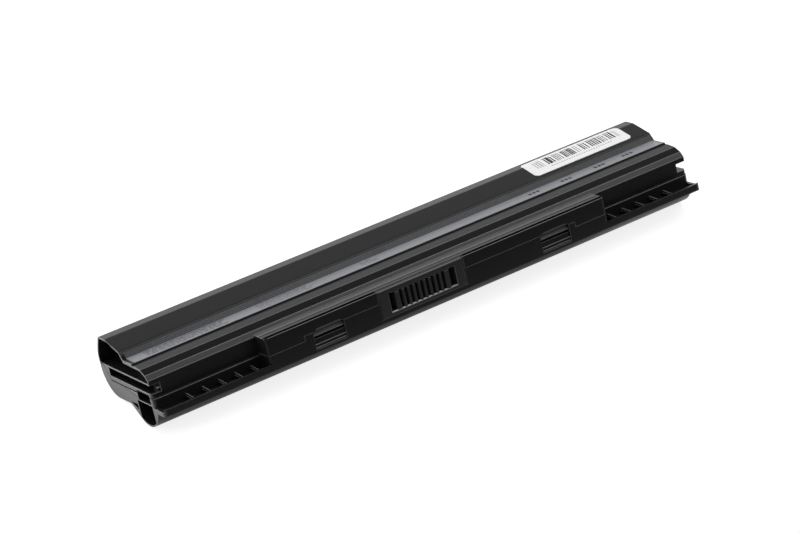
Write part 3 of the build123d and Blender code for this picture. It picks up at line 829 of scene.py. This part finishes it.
    def tone(self, piece: bpy.types.Object, zones: Sequence[Zone]) -> None:
        """Gives the faces of each zone their finish.

        Args:
            piece: A dressed piece.
            zones: Its zones.
        """
        faces = piece.data.polygons
        middles, normals = np.empty(3 * len(faces)), np.empty(3 * len(faces))
        faces.foreach_get("center", middles)
        faces.foreach_get("normal", normals)
        places = self.moulding.locate(middles.reshape(-1, 3))
        looks = normals.reshape(-1, 3) @ np.stack([self.moulding.axis, self.moulding.up], axis=1)
        finish = np.full(len(faces), CaseFinish.PLASTIC, np.int32)
        for zone in zones:
            inside = np.all((places > zone.low) & (places < zone.high), axis=1)
            finish[inside & (looks @ np.array(zone.facing) > FACING_COSINE)] = zone.finish
        faces.foreach_set("material_index", finish)
        log.info("toned %s: %s", piece.name, np.bincount(finish).tolist())

    def rib_crowns(self) -> bpy.types.Object:
        """Makes the crowns of the troughs' ribs, which fall from the wall to the rail.

        The left trough's crowns stand one pitch apart from the first, and the right trough's mirror them
        about the pack's middle.

        Returns:
            One object with a slab on each rib.
        """
        lefts = self.rib_first + np.arange(self.rib_count) * self.rib_pitch
        lefts = np.concatenate([lefts, self.length - lefts - self.rib_mm])[:, None]
        x = lefts + np.array([0, 1, 1, 0] * 2) * self.rib_mm
        u = np.repeat([self.rib_span] * 2, 2)
        v = np.repeat([self.rib_foot, self.rib_foot, *self.rib_tops], 2)
        return new_slabs("trough_rib_crowns", self.moulding.place(x, u, v))

    def comb_edge_highlight(self, middles: np.ndarray, outer: np.ndarray) -> np.ndarray:
        """Gives the rounding and painted highlight of the connector's edges: all the edges that stand out.
        """
        return outer.astype(float)

    def dress(self, nodes: dict[str, bpy.types.Object]) -> None:
        """Replaces the three mouldings by copies with rounded edges.

        Args:
            nodes: The CAD nodes by name.
        """
        front = tuple(self.moulding.axis)
        origin = self.moulding.origin_reach()
        # Black ABS and polycarbonate, moulded in a spark-eroded tool: a satin that mirrors at low angles
        # Along the joint in the end faces its sheen is taken away: a painted shade line
        plastic = JointedPlastic(
            "case_spark_eroded_abs",
            "#161617",
            0.34,
            grain_mm=0.45,
            grain_depth_mm=0.008,
            front=front,
            up=tuple(self.moulding.up),
            origin=origin,
            corner_u=self.seam_u,
            corner_v=self.seam_v,
        )
        # The same plastic on the block's top, in bands of painted reflection and painted shade
        top = PaintedBandPlastic(
            "case_painted_reflection_bands",
            "#303031",
            0.32,
            grain_mm=0.45,
            grain_depth_mm=0.005,
            front=front,
            origin=origin[0],
        )
        case = [finish.material() for finish in (plastic, CASE_EDGE, top, CASE_RECESS, CASE_PAD)]
        for name in ("upper_cover", "lower_case"):
            copy = softened_copy(nodes[name], self.edge_mm, self.edge_highlight)
            finish_piece(copy, case, [name])
            self.tone(copy, self.case_zones)
        comb = [finish.material() for finish in (CONNECTOR_PLASTIC, CONNECTOR_EDGE, CONNECTOR_LIP)]
        housing = softened_copy(nodes["connector_housing"], self.comb_edge_mm, self.comb_edge_highlight)
        finish_piece(housing, comb, ["connector_housing"])
        self.tone(housing, self.comb_zones)
        crowns = self.rib_crowns()
        finish_piece(crowns, case[:2])
        # The crowns' tops get the lighter edge finish: a painted highlight
        self.tone(crowns, self.crown_zones)
        dress_node(nodes["connector_contacts"], CONTACT_TIN.material())


@dataclass(frozen=True)
class Bars:
    """The make of the short bars of a block, in millimetres.

    Attributes:
        height: Height of a bar.
        shortest: Shortest bar.
        longest: Longest bar.
        gap: Space between bars.
    """

    height: float
    shortest: float
    longest: float
    gap: float


FINE_BARS = Bars(height=0.34, shortest=0.6, longest=2.4, gap=0.4)
LARGE_BARS = Bars(height=0.5, shortest=1.0, longest=3.5, gap=0.6)


@dataclass
class Print:
    """A block of print, drawn as short bars in rows.

    Attributes:
        ink: Its ink.
        start: Where it starts, in millimetres from the pack's left end.
        end: Where it ends.
        first: Its first row's distance over the face, from the face's back edge.
        rows: How many rows of bars it has.
        pitch: Distance between rows.
        seed: Start of the random draw of its bars.
        bars: The make of its bars.
    """

    ink: Ink
    start: float
    end: float
    first: float
    rows: int
    pitch: float
    seed: int
    bars: Bars

    def patches(self) -> np.ndarray:
        """Draws the bars: runs of random length, parted by gaps, until each row is full.

        Returns:
            Rows of x from, x to, s from and s to.
        """
        draw = np.random.default_rng(self.seed)
        bars = self.bars
        made = []
        for row in range(self.rows):
            most = int((self.end - self.start) / bars.shortest) + 1
            lengths = draw.uniform(bars.shortest, bars.longest, most)
            starts = self.start + np.concatenate([[0.0], np.cumsum(lengths + bars.gap)[:-1]])
            kept = starts + lengths < self.end
            low = np.full(int(kept.sum()), self.first + row * self.pitch)
            made.append(np.stack([starts[kept], (starts + lengths)[kept], low, low + bars.height], axis=1))
        return np.concatenate(made)


@dataclass
class RatingLabel:
    """The film over the steep field and the flat strip of the valley, with its print as plain bars.

    Attributes:
        moulding: The moulding's frame.
        corner: Upper corner of the steep field in the section.
        valley: Its lower corner, where the flat strip starts.
        film_mm: The film's thickness.
        ink_mm: The ink's thickness.
        painted_edge_shade: A dark line of painted shade along the steep field's upper edge: x from, x to, s
            from and s to.
        mark_lefts: Left edges of the groups of squares on the strip.
        mark_steps: Places of the squares in a group.
        mark_mm: Width of a square.
        mark_rows: The s between which it reaches.
        blocks: The blocks of print, from left to right: three on each face.
    """

    moulding: Moulding
    corner: tuple[float, float] = (-1.2, 12.492)
    valley: tuple[float, float] = (1.3, 9.5)
    film_mm: float = 0.12
    ink_mm: float = 0.015
    painted_edge_shade: tuple[float, float, float, float] = (1.9, 260.9, 0.72, 1.02)
    mark_lefts: tuple[float, ...] = (193.0, 209.8, 227.2, 242.0)
    mark_steps: tuple[float, ...] = (0.0, 2.0, 4.0)
    mark_mm: float = 1.3
    mark_rows: tuple[float, float] = (2.6, 4.4)
    blocks: tuple[Print, ...] = (
        Print(Ink.LIGHT, 14.0, 62.0, 1.3, 3, 0.8, 21, FINE_BARS),
        Print(Ink.LIGHT, 64.0, 118.0, 1.3, 3, 0.8, 22, FINE_BARS),
        Print(Ink.LIGHT, 124.0, 186.0, 1.3, 3, 0.8, 23, FINE_BARS),
        Print(Ink.DARK, 8.6, 46.0, 0.8, 4, 1.5, 31, LARGE_BARS),
        Print(Ink.PALE, 60.0, 86.0, 0.8, 4, 1.5, 32, LARGE_BARS),
        Print(Ink.PALE, 109.0, 118.0, 1.6, 3, 1.5, 33, LARGE_BARS),
    )

    def surface(self, side: Side) -> Callable[[np.ndarray, np.ndarray, np.ndarray], np.ndarray]:
        """Gives the film's outer face as a function of x, s and height.

        On the steep field s runs down from its upper corner, and on the flat strip to the front from the
        valley. The height is added along the face's normal, over the film's thickness.

        Args:
            side: The face.

        Returns:
            A function that gives places in metres.
        """
        run = np.array(self.valley) - np.array(self.corner)
        along = run / np.linalg.norm(run) if side is Side.STEEP else np.array([1.0, 0.0])
        start = np.array(self.corner if side is Side.STEEP else self.valley)
        normal = np.array([-along[1], along[0]])

        def place(x: np.ndarray, s: np.ndarray, height: np.ndarray) -> np.ndarray:
            """Gives places on the film's face, or over it.

            Args:
                x: Millimetres from the pack's left end.
                s: Millimetres along the face from its start.
                height: Millimetres over the film.

            Returns:
                Places in metres.
            """
            lift = height + self.film_mm
            u = start[0] + along[0] * s + normal[0] * lift
            v = start[1] + along[1] * s + normal[1] * lift
            return self.moulding.place(x, u, v)

        return place

    def dress(self, nodes: dict[str, bpy.types.Object]) -> None:
        """Gives the film its two fields and lays the print on them.

        Args:
            nodes: The CAD nodes by name.
        """
        # Polyester film, printed dark on the steep field and silver on the flat strip: smooth, low in sheen
        film = TwoFieldFilm(
            "label_polyester_film",
            "#3D3E40",
            0.4,
            specular=0.4,
            grain_mm=1.6,
            grain_depth_mm=0.004,
            colour_change=0.07,
            front_colour="#8E9095",
            front=tuple(self.moulding.axis),
            line=self.moulding.level(self.valley[0]),
        )
        dress_node(nodes["rating_label"], film.material())
        inks = (
            (Ink.LIGHT, Side.STEEP, self.printed(Ink.LIGHT), "#59595C"),
            (Ink.DARK, Side.FLAT, self.printed(Ink.DARK), "#26272A"),
            (Ink.PALE, Side.FLAT, self.printed(Ink.PALE), "#5C5E62"),
            (Ink.MARKS, Side.FLAT, self.marks(), "#2A2B2D"),
            # The last is painted shade, not print: a dark line along the steep field's upper edge
            (Ink.PAINTED_EDGE_SHADE, Side.STEEP, np.array([self.painted_edge_shade]), "#1E1E20"),
        )
        for ink_name, side, patches, colour in inks:
            name = "label_" + ink_name.value
            piece = ink_patches(name, patches, self.surface(side), self.ink_mm)
            # A thin coat of printing ink: nearly matt, so that it doesn't mirror as the film round it does
            ink = Finish(name + "_ink", colour, 0.5, specular=0.3, grain_mm=0.4, grain_depth_mm=0.002)
            finish_piece(piece, [ink.material()])

    def printed(self, ink: Ink) -> np.ndarray:
        """Draws the bars of all the blocks in one ink.

        Args:
            ink: The ink.

        Returns:
            Rows of x from, x to, s from and s to.
        """
        return np.concatenate([b.patches() for b in self.blocks if b.ink is ink])

    def marks(self) -> np.ndarray:
        """Draws plain squares on the silver strip, in groups of three.

        Returns:
            Rows of x from, x to, s from and s to.
        """
        lefts = np.add.outer(self.mark_lefts, self.mark_steps).ravel()
        rows = np.tile(self.mark_rows, (lefts.size, 1))
        return np.column_stack([lefts, lefts + self.mark_mm, rows])


@dataclass
class BarSticker:
    """The white paper sticker on the back lobe, with upright bars in groups.

    Attributes:
        moulding: The moulding's frame.
        crest: Place in the section of the line between the flat top and the slope.
        slope_deg: How steeply the slope falls.
        film_mm: The paper's thickness.
        ink_mm: The ink's thickness.
        bars_from: The bars' back ends, along the paper from the crest.
        bars_to: Their front ends.
        row_from: Back edge of the row of dashes in front of them.
        row_to: Its front edge.
        dash_mm: Length of a dash.
        dash_pitch: Distance between dashes.
        step_mm: Mean distance between bars.
        seed: Start of the random draw of their widths.
        groups: For each group of bars its left and right end and the share of it that is dark.
    """

    moulding: Moulding
    crest: tuple[float, float] = (-12.4, 15.4)
    slope_deg: float = 14.516
    film_mm: float = 0.12
    ink_mm: float = 0.012
    bars_from: float = -1.4
    bars_to: float = 5.0
    row_from: float = 6.3
    row_to: float = 7.0
    dash_mm: float = 0.7
    dash_pitch: float = 1.3
    step_mm: float = 1.05
    seed: int = 11
    groups: tuple[tuple[float, float, float], ...] = (
        (207.8, 212.4, 0.25),
        (213.4, 217.6, 0.72),
        (218.2, 222.0, 0.34),
        (222.6, 228.4, 0.62),
        (229.2, 231.4, 0.2),
        (232.2, 235.8, 0.42),
        (236.4, 241.8, 0.55),
        (242.3, 245.4, 0.36),
        (245.9, 249.2, 0.58),
        (250.0, 251.6, 0.25),
    )

    def place(self, x: np.ndarray, s: np.ndarray, height: np.ndarray) -> np.ndarray:
        """Places on the sticker's face.

        With s below zero a point lies on the flat top, and with s above zero on the slope in front of it.
        Lifted faces meet over the crest, where the corner moves forward by the lift times the tangent of
        half the slope.

        Args:
            x: Millimetres from the pack's left end.
            s: Millimetres over the paper from the crest, forwards.
            height: Millimetres over the paper.

        Returns:
            Places in metres.
        """
        slope = math.radians(self.slope_deg)
        lift = self.film_mm + height
        ahead = np.maximum(s, 0.0)
        u = self.crest[0] + lift * math.tan(slope / 2) + np.minimum(s, 0.0) + ahead * math.cos(slope)
        v = self.crest[1] + lift - ahead * math.sin(slope)
        return self.moulding.place(x, u, v)

    def bars(self) -> np.ndarray:
        """Draws the bars: in each group as many steps as fit, each with a bar as wide as the group is dark.

        The share of a step that is bar varies by a third up and down. Each bar is cut at the crest, so
        that one part lies flat and the other on the slope.

        Returns:
            Rows of x from, x to, s from and s to.
        """
        draw = np.random.default_rng(self.seed)
        made = []
        for left, right, share in self.groups:
            count = max(2, round((right - left) / self.step_mm))
            starts = np.linspace(left, right, count, endpoint=False)
            widths = (right - left) / count * share * draw.uniform(0.67, 1.33, count)
            made.append(np.stack([starts, starts + widths], axis=1))
        edges = np.concatenate(made)
        spans = ((self.bars_from, 0.0), (0.0, self.bars_to))
        return np.concatenate([np.column_stack([edges, np.tile(span, (len(edges), 1))]) for span in spans])

    def row(self) -> np.ndarray:
        """Draws the row of short grey dashes in front of the bars.

        Returns:
            Rows of x from, x to, s from and s to.
        """
        starts = np.arange(self.groups[1][0], self.groups[-2][0], self.dash_pitch)
        rows = np.tile((self.row_from, self.row_to), (len(starts), 1))
        return np.column_stack([starts, starts + self.dash_mm, rows])

    def dress(self, nodes: dict[str, bpy.types.Object]) -> None:
        """Gives the paper its finish and lays the bars on it.

        Args:
            nodes: The CAD nodes by name.
        """
        # Coated white paper: matt, with a faint fibre that the press leaves
        paper = Finish(
            "sticker_coated_paper", "#F6F6F7", 0.6, specular=0.3, grain_mm=0.8, colour_change=0.015
        )
        dress_node(nodes["bar_sticker"], paper.material())
        inks = (("sticker_bars", self.bars(), "#222224"), ("sticker_dashes", self.row(), "#B0B0B2"))
        for name, patches, colour in inks:
            piece = ink_patches(name, patches, self.place, self.ink_mm)
            # Print in the paper's coating: soft, uneven and without a sheen of its own
            ink = Finish(name + "_ink", colour, 0.55, specular=0.3, grain_mm=0.3, colour_change=0.1)
            finish_piece(piece, [ink.material()])


@dataclass
class Inside:
    """What the case holds: cells, strips, board and foam.

    Attributes:
        moulded: Names of the parts on the board that are moulded in resin.
    """

    moulded: tuple[str, ...] = ("charge_gauge_chip", "protection_chip", "power_switches", "board_fuse")

    def dress(self, nodes: dict[str, bpy.types.Object]) -> None:
        """Gives each inner node its finish.

        Args:
            nodes: The CAD nodes by name.
        """
        finishes = {
            # Shrink film over the steel can: glossy, with a slight waviness
            "cell_": Finish(
                "cell_shrink_film", "#3E86A8", 0.25, grain_mm=6.0, grain_depth_mm=0.03, coat=0.3
            ),
            # Fish paper, a pressed fibre: matt and flecked
            "ring_": Finish("ring_fish_paper", "#D8D2BE", 0.8, grain_mm=0.6, grain_depth_mm=0.02),
            "insulating_sheet": Finish(
                "sheet_fish_paper", "#D8D2BE", 0.8, grain_mm=0.6, grain_depth_mm=0.02
            ),
            # Rolled nickel: a soft metal sheen with fine rolling grain
            "strip_": Finish(
                "strip_rolled_nickel", "#B4B1A8", 0.3, metallic=1.0, grain_mm=0.5, grain_depth_mm=0.003
            ),
            "lead_": Finish(
                "lead_rolled_nickel", "#B4B1A8", 0.3, metallic=1.0, grain_mm=0.5, grain_depth_mm=0.003
            ),
            # Glass fibre and epoxy under green solder mask: the weave shows faintly through a gloss
            "circuit_board": Finish(
                "board_solder_mask", "#174A2A", 0.35, grain_mm=1.2, grain_depth_mm=0.01, coat=0.2
            ),
            # Open-celled foam: no sheen, deep pores
            "foam_pads": Finish("pad_open_foam", "#242424", 0.95, grain_mm=0.7, grain_depth_mm=0.15),
            # Parts on the board: fired ceramic, a coated resistor, and resin moulded round chips and fuse
            "board_capacitors": Finish("capacitor_ceramic", "#9C7A55", 0.5, grain_mm=0.3),
            "thermistor": Finish("thermistor_ceramic", "#4C4238", 0.5, grain_mm=0.3),
            "sense_resistor": Finish("resistor_film", "#1C1C1E", 0.4, grain_mm=0.4),
        }
        resin = Finish("chip_moulded_resin", "#141415", 0.6, grain_mm=0.3, grain_depth_mm=0.008).material()
        made = {prefix: finish.material() for prefix, finish in finishes.items()}
        made |= dict.fromkeys(self.moulded, resin)
        for name, node in nodes.items():
            prefix = next((p for p in made if name.startswith(p)), None)
            if prefix:
                dress_node(node, made[prefix])


@dataclass(frozen=True)
class Lamp:
    """A square soft box that faces the pack.

    Attributes:
        name: Its name.
        place: Its place in metres.
        side: Its side in metres.
        power: Its power in watts.
        mirrored: Whether the pack's sheen shows it.
    """

    name: str
    place: Direction
    side: float
    power: float
    mirrored: bool = True

    def build(self) -> None:
        """Adds the lamp."""
        light = bpy.data.lights.new(self.name, "AREA")
        light.size = self.side
        light.energy = self.power
        made = bpy.data.objects.new(self.name, light)
        made.location = self.place
        made.visible_glossy = self.mirrored
        made.rotation_mode = "QUATERNION"
        made.rotation_quaternion = (-Vector(self.place)).to_track_quat("-Z", "Y")
        bpy.context.scene.collection.objects.link(made)


@dataclass
class Studio:
    """Floor, lamps, white surroundings and the camera.

    Attributes:
        heading_deg: The camera's turn to the right of the direction to the pack's back.
        elevation_deg: Its angle over the floor.
        roll_deg: Its turn about its own line of sight.
        distance_mm: Its distance from the target.
        target_mm: The place at which it looks.
        lens_mm: Its focal length.
        sensor_mm: Width of its sensor.
        clip: The least and greatest distance that it sees, in metres.
        floor_colour: Colour of the card on the floor.
        floor_side: Half the floor's width, and its reach behind the pack, in metres.
        floor_front: The Y of its near edge.
        even_light: Strength of the light from all round.
        floor_glow: Strength that the floor adds for the camera, which makes it white where it is lit.
        glow_most: Greatest strength of its glow in reflections.
        glow_reach: The X at which that glow's steps start and end, either side of the middle.
        glow_fade: The Y between which it fades in.
        glow_steps: Its strength along X, as shares.
        backdrop_steps: Strength of the room's reflection over the height of its direction.
        backdrop_turn: How far towards the back a direction must point to see the whole backdrop.
        lamps: The lamps.
    """

    heading_deg: float = 31.733
    elevation_deg: float = 32.998
    roll_deg: float = -4.096
    distance_mm: float = 1160.42
    target_mm: tuple[float, float, float] = (-2.33, 3.59, 13.30)
    lens_mm: float = 127.42
    sensor_mm: float = 36.0
    clip: tuple[float, float] = (0.01, 50.0)
    floor_colour: str = "#B8B8B8"
    floor_side: float = 3.0
    floor_front: float = -0.11
    even_light: float = 0.55
    floor_glow: float = 0.8
    glow_most: float = 1.45
    glow_reach: float = 0.16
    glow_fade: tuple[float, float] = (-0.05, 0.0)
    glow_steps: tuple[tuple[float, float], ...] = (
        (0.0, 1.0),
        (0.06, 1.0),
        (0.11, 0.34),
        (0.7, 0.31),
        (0.8, 0.62),
    )
    backdrop_steps: tuple[tuple[float, float], ...] = (
        (0.0, 1.0),
        (0.12, 1.0),
        (0.26, 0.58),
        (0.5, 0.32),
        (0.7, 0.02),
    )
    backdrop_turn: float = 0.4
    lamps: tuple[Lamp, ...] = (
        Lamp("soft_box_above", (0.62, -0.28, 1.22), 1.0, 5.2),
        Lamp("soft_box_back", (-0.4, 1.3, 0.5), 0.8, 8.0),
        Lamp("soft_box_left", (-1.4, 0.5, 0.35), 0.8, 8.0, mirrored=False),
    )

    def camera(self) -> None:
        """Sets the camera by heading, elevation, roll and distance from its target."""
        heading, elevation, roll = map(math.radians, (self.heading_deg, self.elevation_deg, self.roll_deg))
        forward = Vector(
            (
                math.cos(elevation) * math.sin(heading),
                math.cos(elevation) * math.cos(heading),
                -math.sin(elevation),
            )
        )
        level = forward.cross(Vector((0, 0, 1))).normalized()
        rise = level.cross(forward)
        right = level * math.cos(roll) + rise * math.sin(roll)
        up = rise * math.cos(roll) - level * math.sin(roll)
        lens = bpy.data.cameras.new("camera")
        lens.lens = self.lens_mm
        lens.sensor_width = self.sensor_mm
        lens.clip_start, lens.clip_end = self.clip
        made = bpy.data.objects.new("camera", lens)
        turn = Matrix((right, up, -forward)).transposed().to_4x4()
        where = Vector(self.target_mm) * MM - forward * self.distance_mm * MM
        made.matrix_world = Matrix.Translation(where) @ turn
        bpy.context.scene.collection.objects.link(made)
        bpy.context.scene.camera = made

    def floor(self) -> None:
        """Lays a pale floor that keeps the shadow and is white where nothing shades it.

        It ends a little in front of the pack, and its glow in reflections fades towards that edge, as on a
        table whose near side lies in the dark of the room. The glow is strongest left of the pack, where
        the end faces mirror it, and weak under the pack's middle.
        """
        side, front = self.floor_side, self.floor_front
        corners = np.array([[-side, front, 0], [side, front, 0], [side, side, 0], [-side, side, 0]])
        made = new_object("floor", corners, [[0, 1, 2, 3]])
        sheet = bpy.data.materials.new("floor_white_card")
        sheet.use_nodes = True
        tree = sheet.node_tree
        tree.nodes.clear()
        matt = add_node(
            tree, "ShaderNodeBsdfDiffuse", sockets={"Color": linear(self.floor_colour)}
        ).outputs[0]
        ray = add_node(tree, "ShaderNodeLightPath").outputs
        place = add_node(tree, "ShaderNodeTexCoord").outputs["Object"]
        parts = add_node(tree, "ShaderNodeSeparateXYZ", sockets={0: place}).outputs
        depth, along = (
            add_node(
                tree, "ShaderNodeMapRange", sockets={"Value": parts[axis], "From Min": low, "From Max": high}
            ).outputs[0]
            for axis, (low, high) in (("Y", self.glow_fade), ("X", (-self.glow_reach, self.glow_reach)))
        )
        ramp = add_node(tree, "ShaderNodeValToRGB", sockets={0: along})
        set_steps(ramp, greys(self.glow_steps))
        mirrored = ray["Is Glossy Ray"]
        for factor in (depth, ramp.outputs[0], self.glow_most):
            mirrored = add_node(
                tree, "ShaderNodeMath", {"operation": "MULTIPLY"}, {0: mirrored, 1: factor}
            ).outputs[0]
        strength = add_node(
            tree,
            "ShaderNodeMath",
            {"operation": "MULTIPLY_ADD"},
            {0: ray["Is Camera Ray"], 1: self.floor_glow, 2: mirrored},
        ).outputs[0]
        glow = add_node(
            tree, "ShaderNodeEmission", sockets={"Color": linear(WHITE), "Strength": strength}
        ).outputs[0]
        surface = add_node(tree, "ShaderNodeAddShader", sockets={0: matt, 1: glow}).outputs[0]
        add_node(tree, "ShaderNodeOutputMaterial", sockets={"Surface": surface})
        made.data.materials.append(sheet)

    def backdrop(self, tree: bpy.types.NodeTree) -> bpy.types.NodeSocket:
        """Adds what reflections see of the room: a white backdrop behind the pack, dark above and in front.

        Args:
            tree: The world's node tree.

        Returns:
            The output that carries the strength for a direction.
        """
        direction = add_node(tree, "ShaderNodeTexCoord").outputs["Generated"]
        parts = add_node(tree, "ShaderNodeSeparateXYZ", sockets={0: direction}).outputs
        ramp = add_node(tree, "ShaderNodeValToRGB", sockets={0: parts["Z"]})
        set_steps(ramp, greys(self.backdrop_steps))
        behind = add_node(
            tree, "ShaderNodeMapRange", sockets={"Value": parts["Y"], "From Max": self.backdrop_turn}
        ).outputs[0]
        return add_node(
            tree, "ShaderNodeMath", {"operation": "MULTIPLY"}, {0: ramp.outputs[0], 1: behind}
        ).outputs[0]

    def surroundings(self) -> None:
        """White for what the camera sees, the room for reflections, and an even light for the rest."""
        world = bpy.data.worlds.new("studio")
        bpy.context.scene.world = world
        world.use_nodes = True
        tree = world.node_tree
        tree.nodes.clear()
        ray = add_node(tree, "ShaderNodeLightPath").outputs
        room = add_node(
            tree,
            "ShaderNodeMix",
            {"data_type": "FLOAT"},
            {"Factor": ray["Is Glossy Ray"], 2: self.even_light, 3: self.backdrop(tree)},
        ).outputs[0]
        seen = add_node(
            tree,
            "ShaderNodeMath",
            {"operation": "MAXIMUM"},
            {0: ray["Is Camera Ray"], 1: ray["Is Transmission Ray"]},
        ).outputs[0]
        strength = add_node(
            tree, "ShaderNodeMix", {"data_type": "FLOAT"}, {"Factor": seen, 2: room, 3: 1.0}
        ).outputs[0]
        light = add_node(
            tree, "ShaderNodeBackground", sockets={"Color": linear(WHITE), "Strength": strength}
        ).outputs[0]
        add_node(tree, "ShaderNodeOutputWorld", sockets={"Surface": light})

    def build(self) -> None:
        """Builds the whole studio."""
        self.camera()
        self.floor()
        self.surroundings()
        for lamp in self.lamps:
            lamp.build()
        bpy.context.scene.view_settings.view_transform = "Standard"


def main() -> None:
    """Loads the pack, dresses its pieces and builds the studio."""
    logging.basicConfig(level=logging.INFO, format="%(name)s: %(message)s")
    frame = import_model()
    nodes = frame["nodes"]
    moulding = Moulding.from_record(frame["record"])
    Studio().build()
    Casing(moulding).dress(nodes)
    RatingLabel(moulding).dress(nodes)
    BarSticker(moulding).dress(nodes)
    Inside().dress(nodes)


if __name__ == "__main__":
    main()
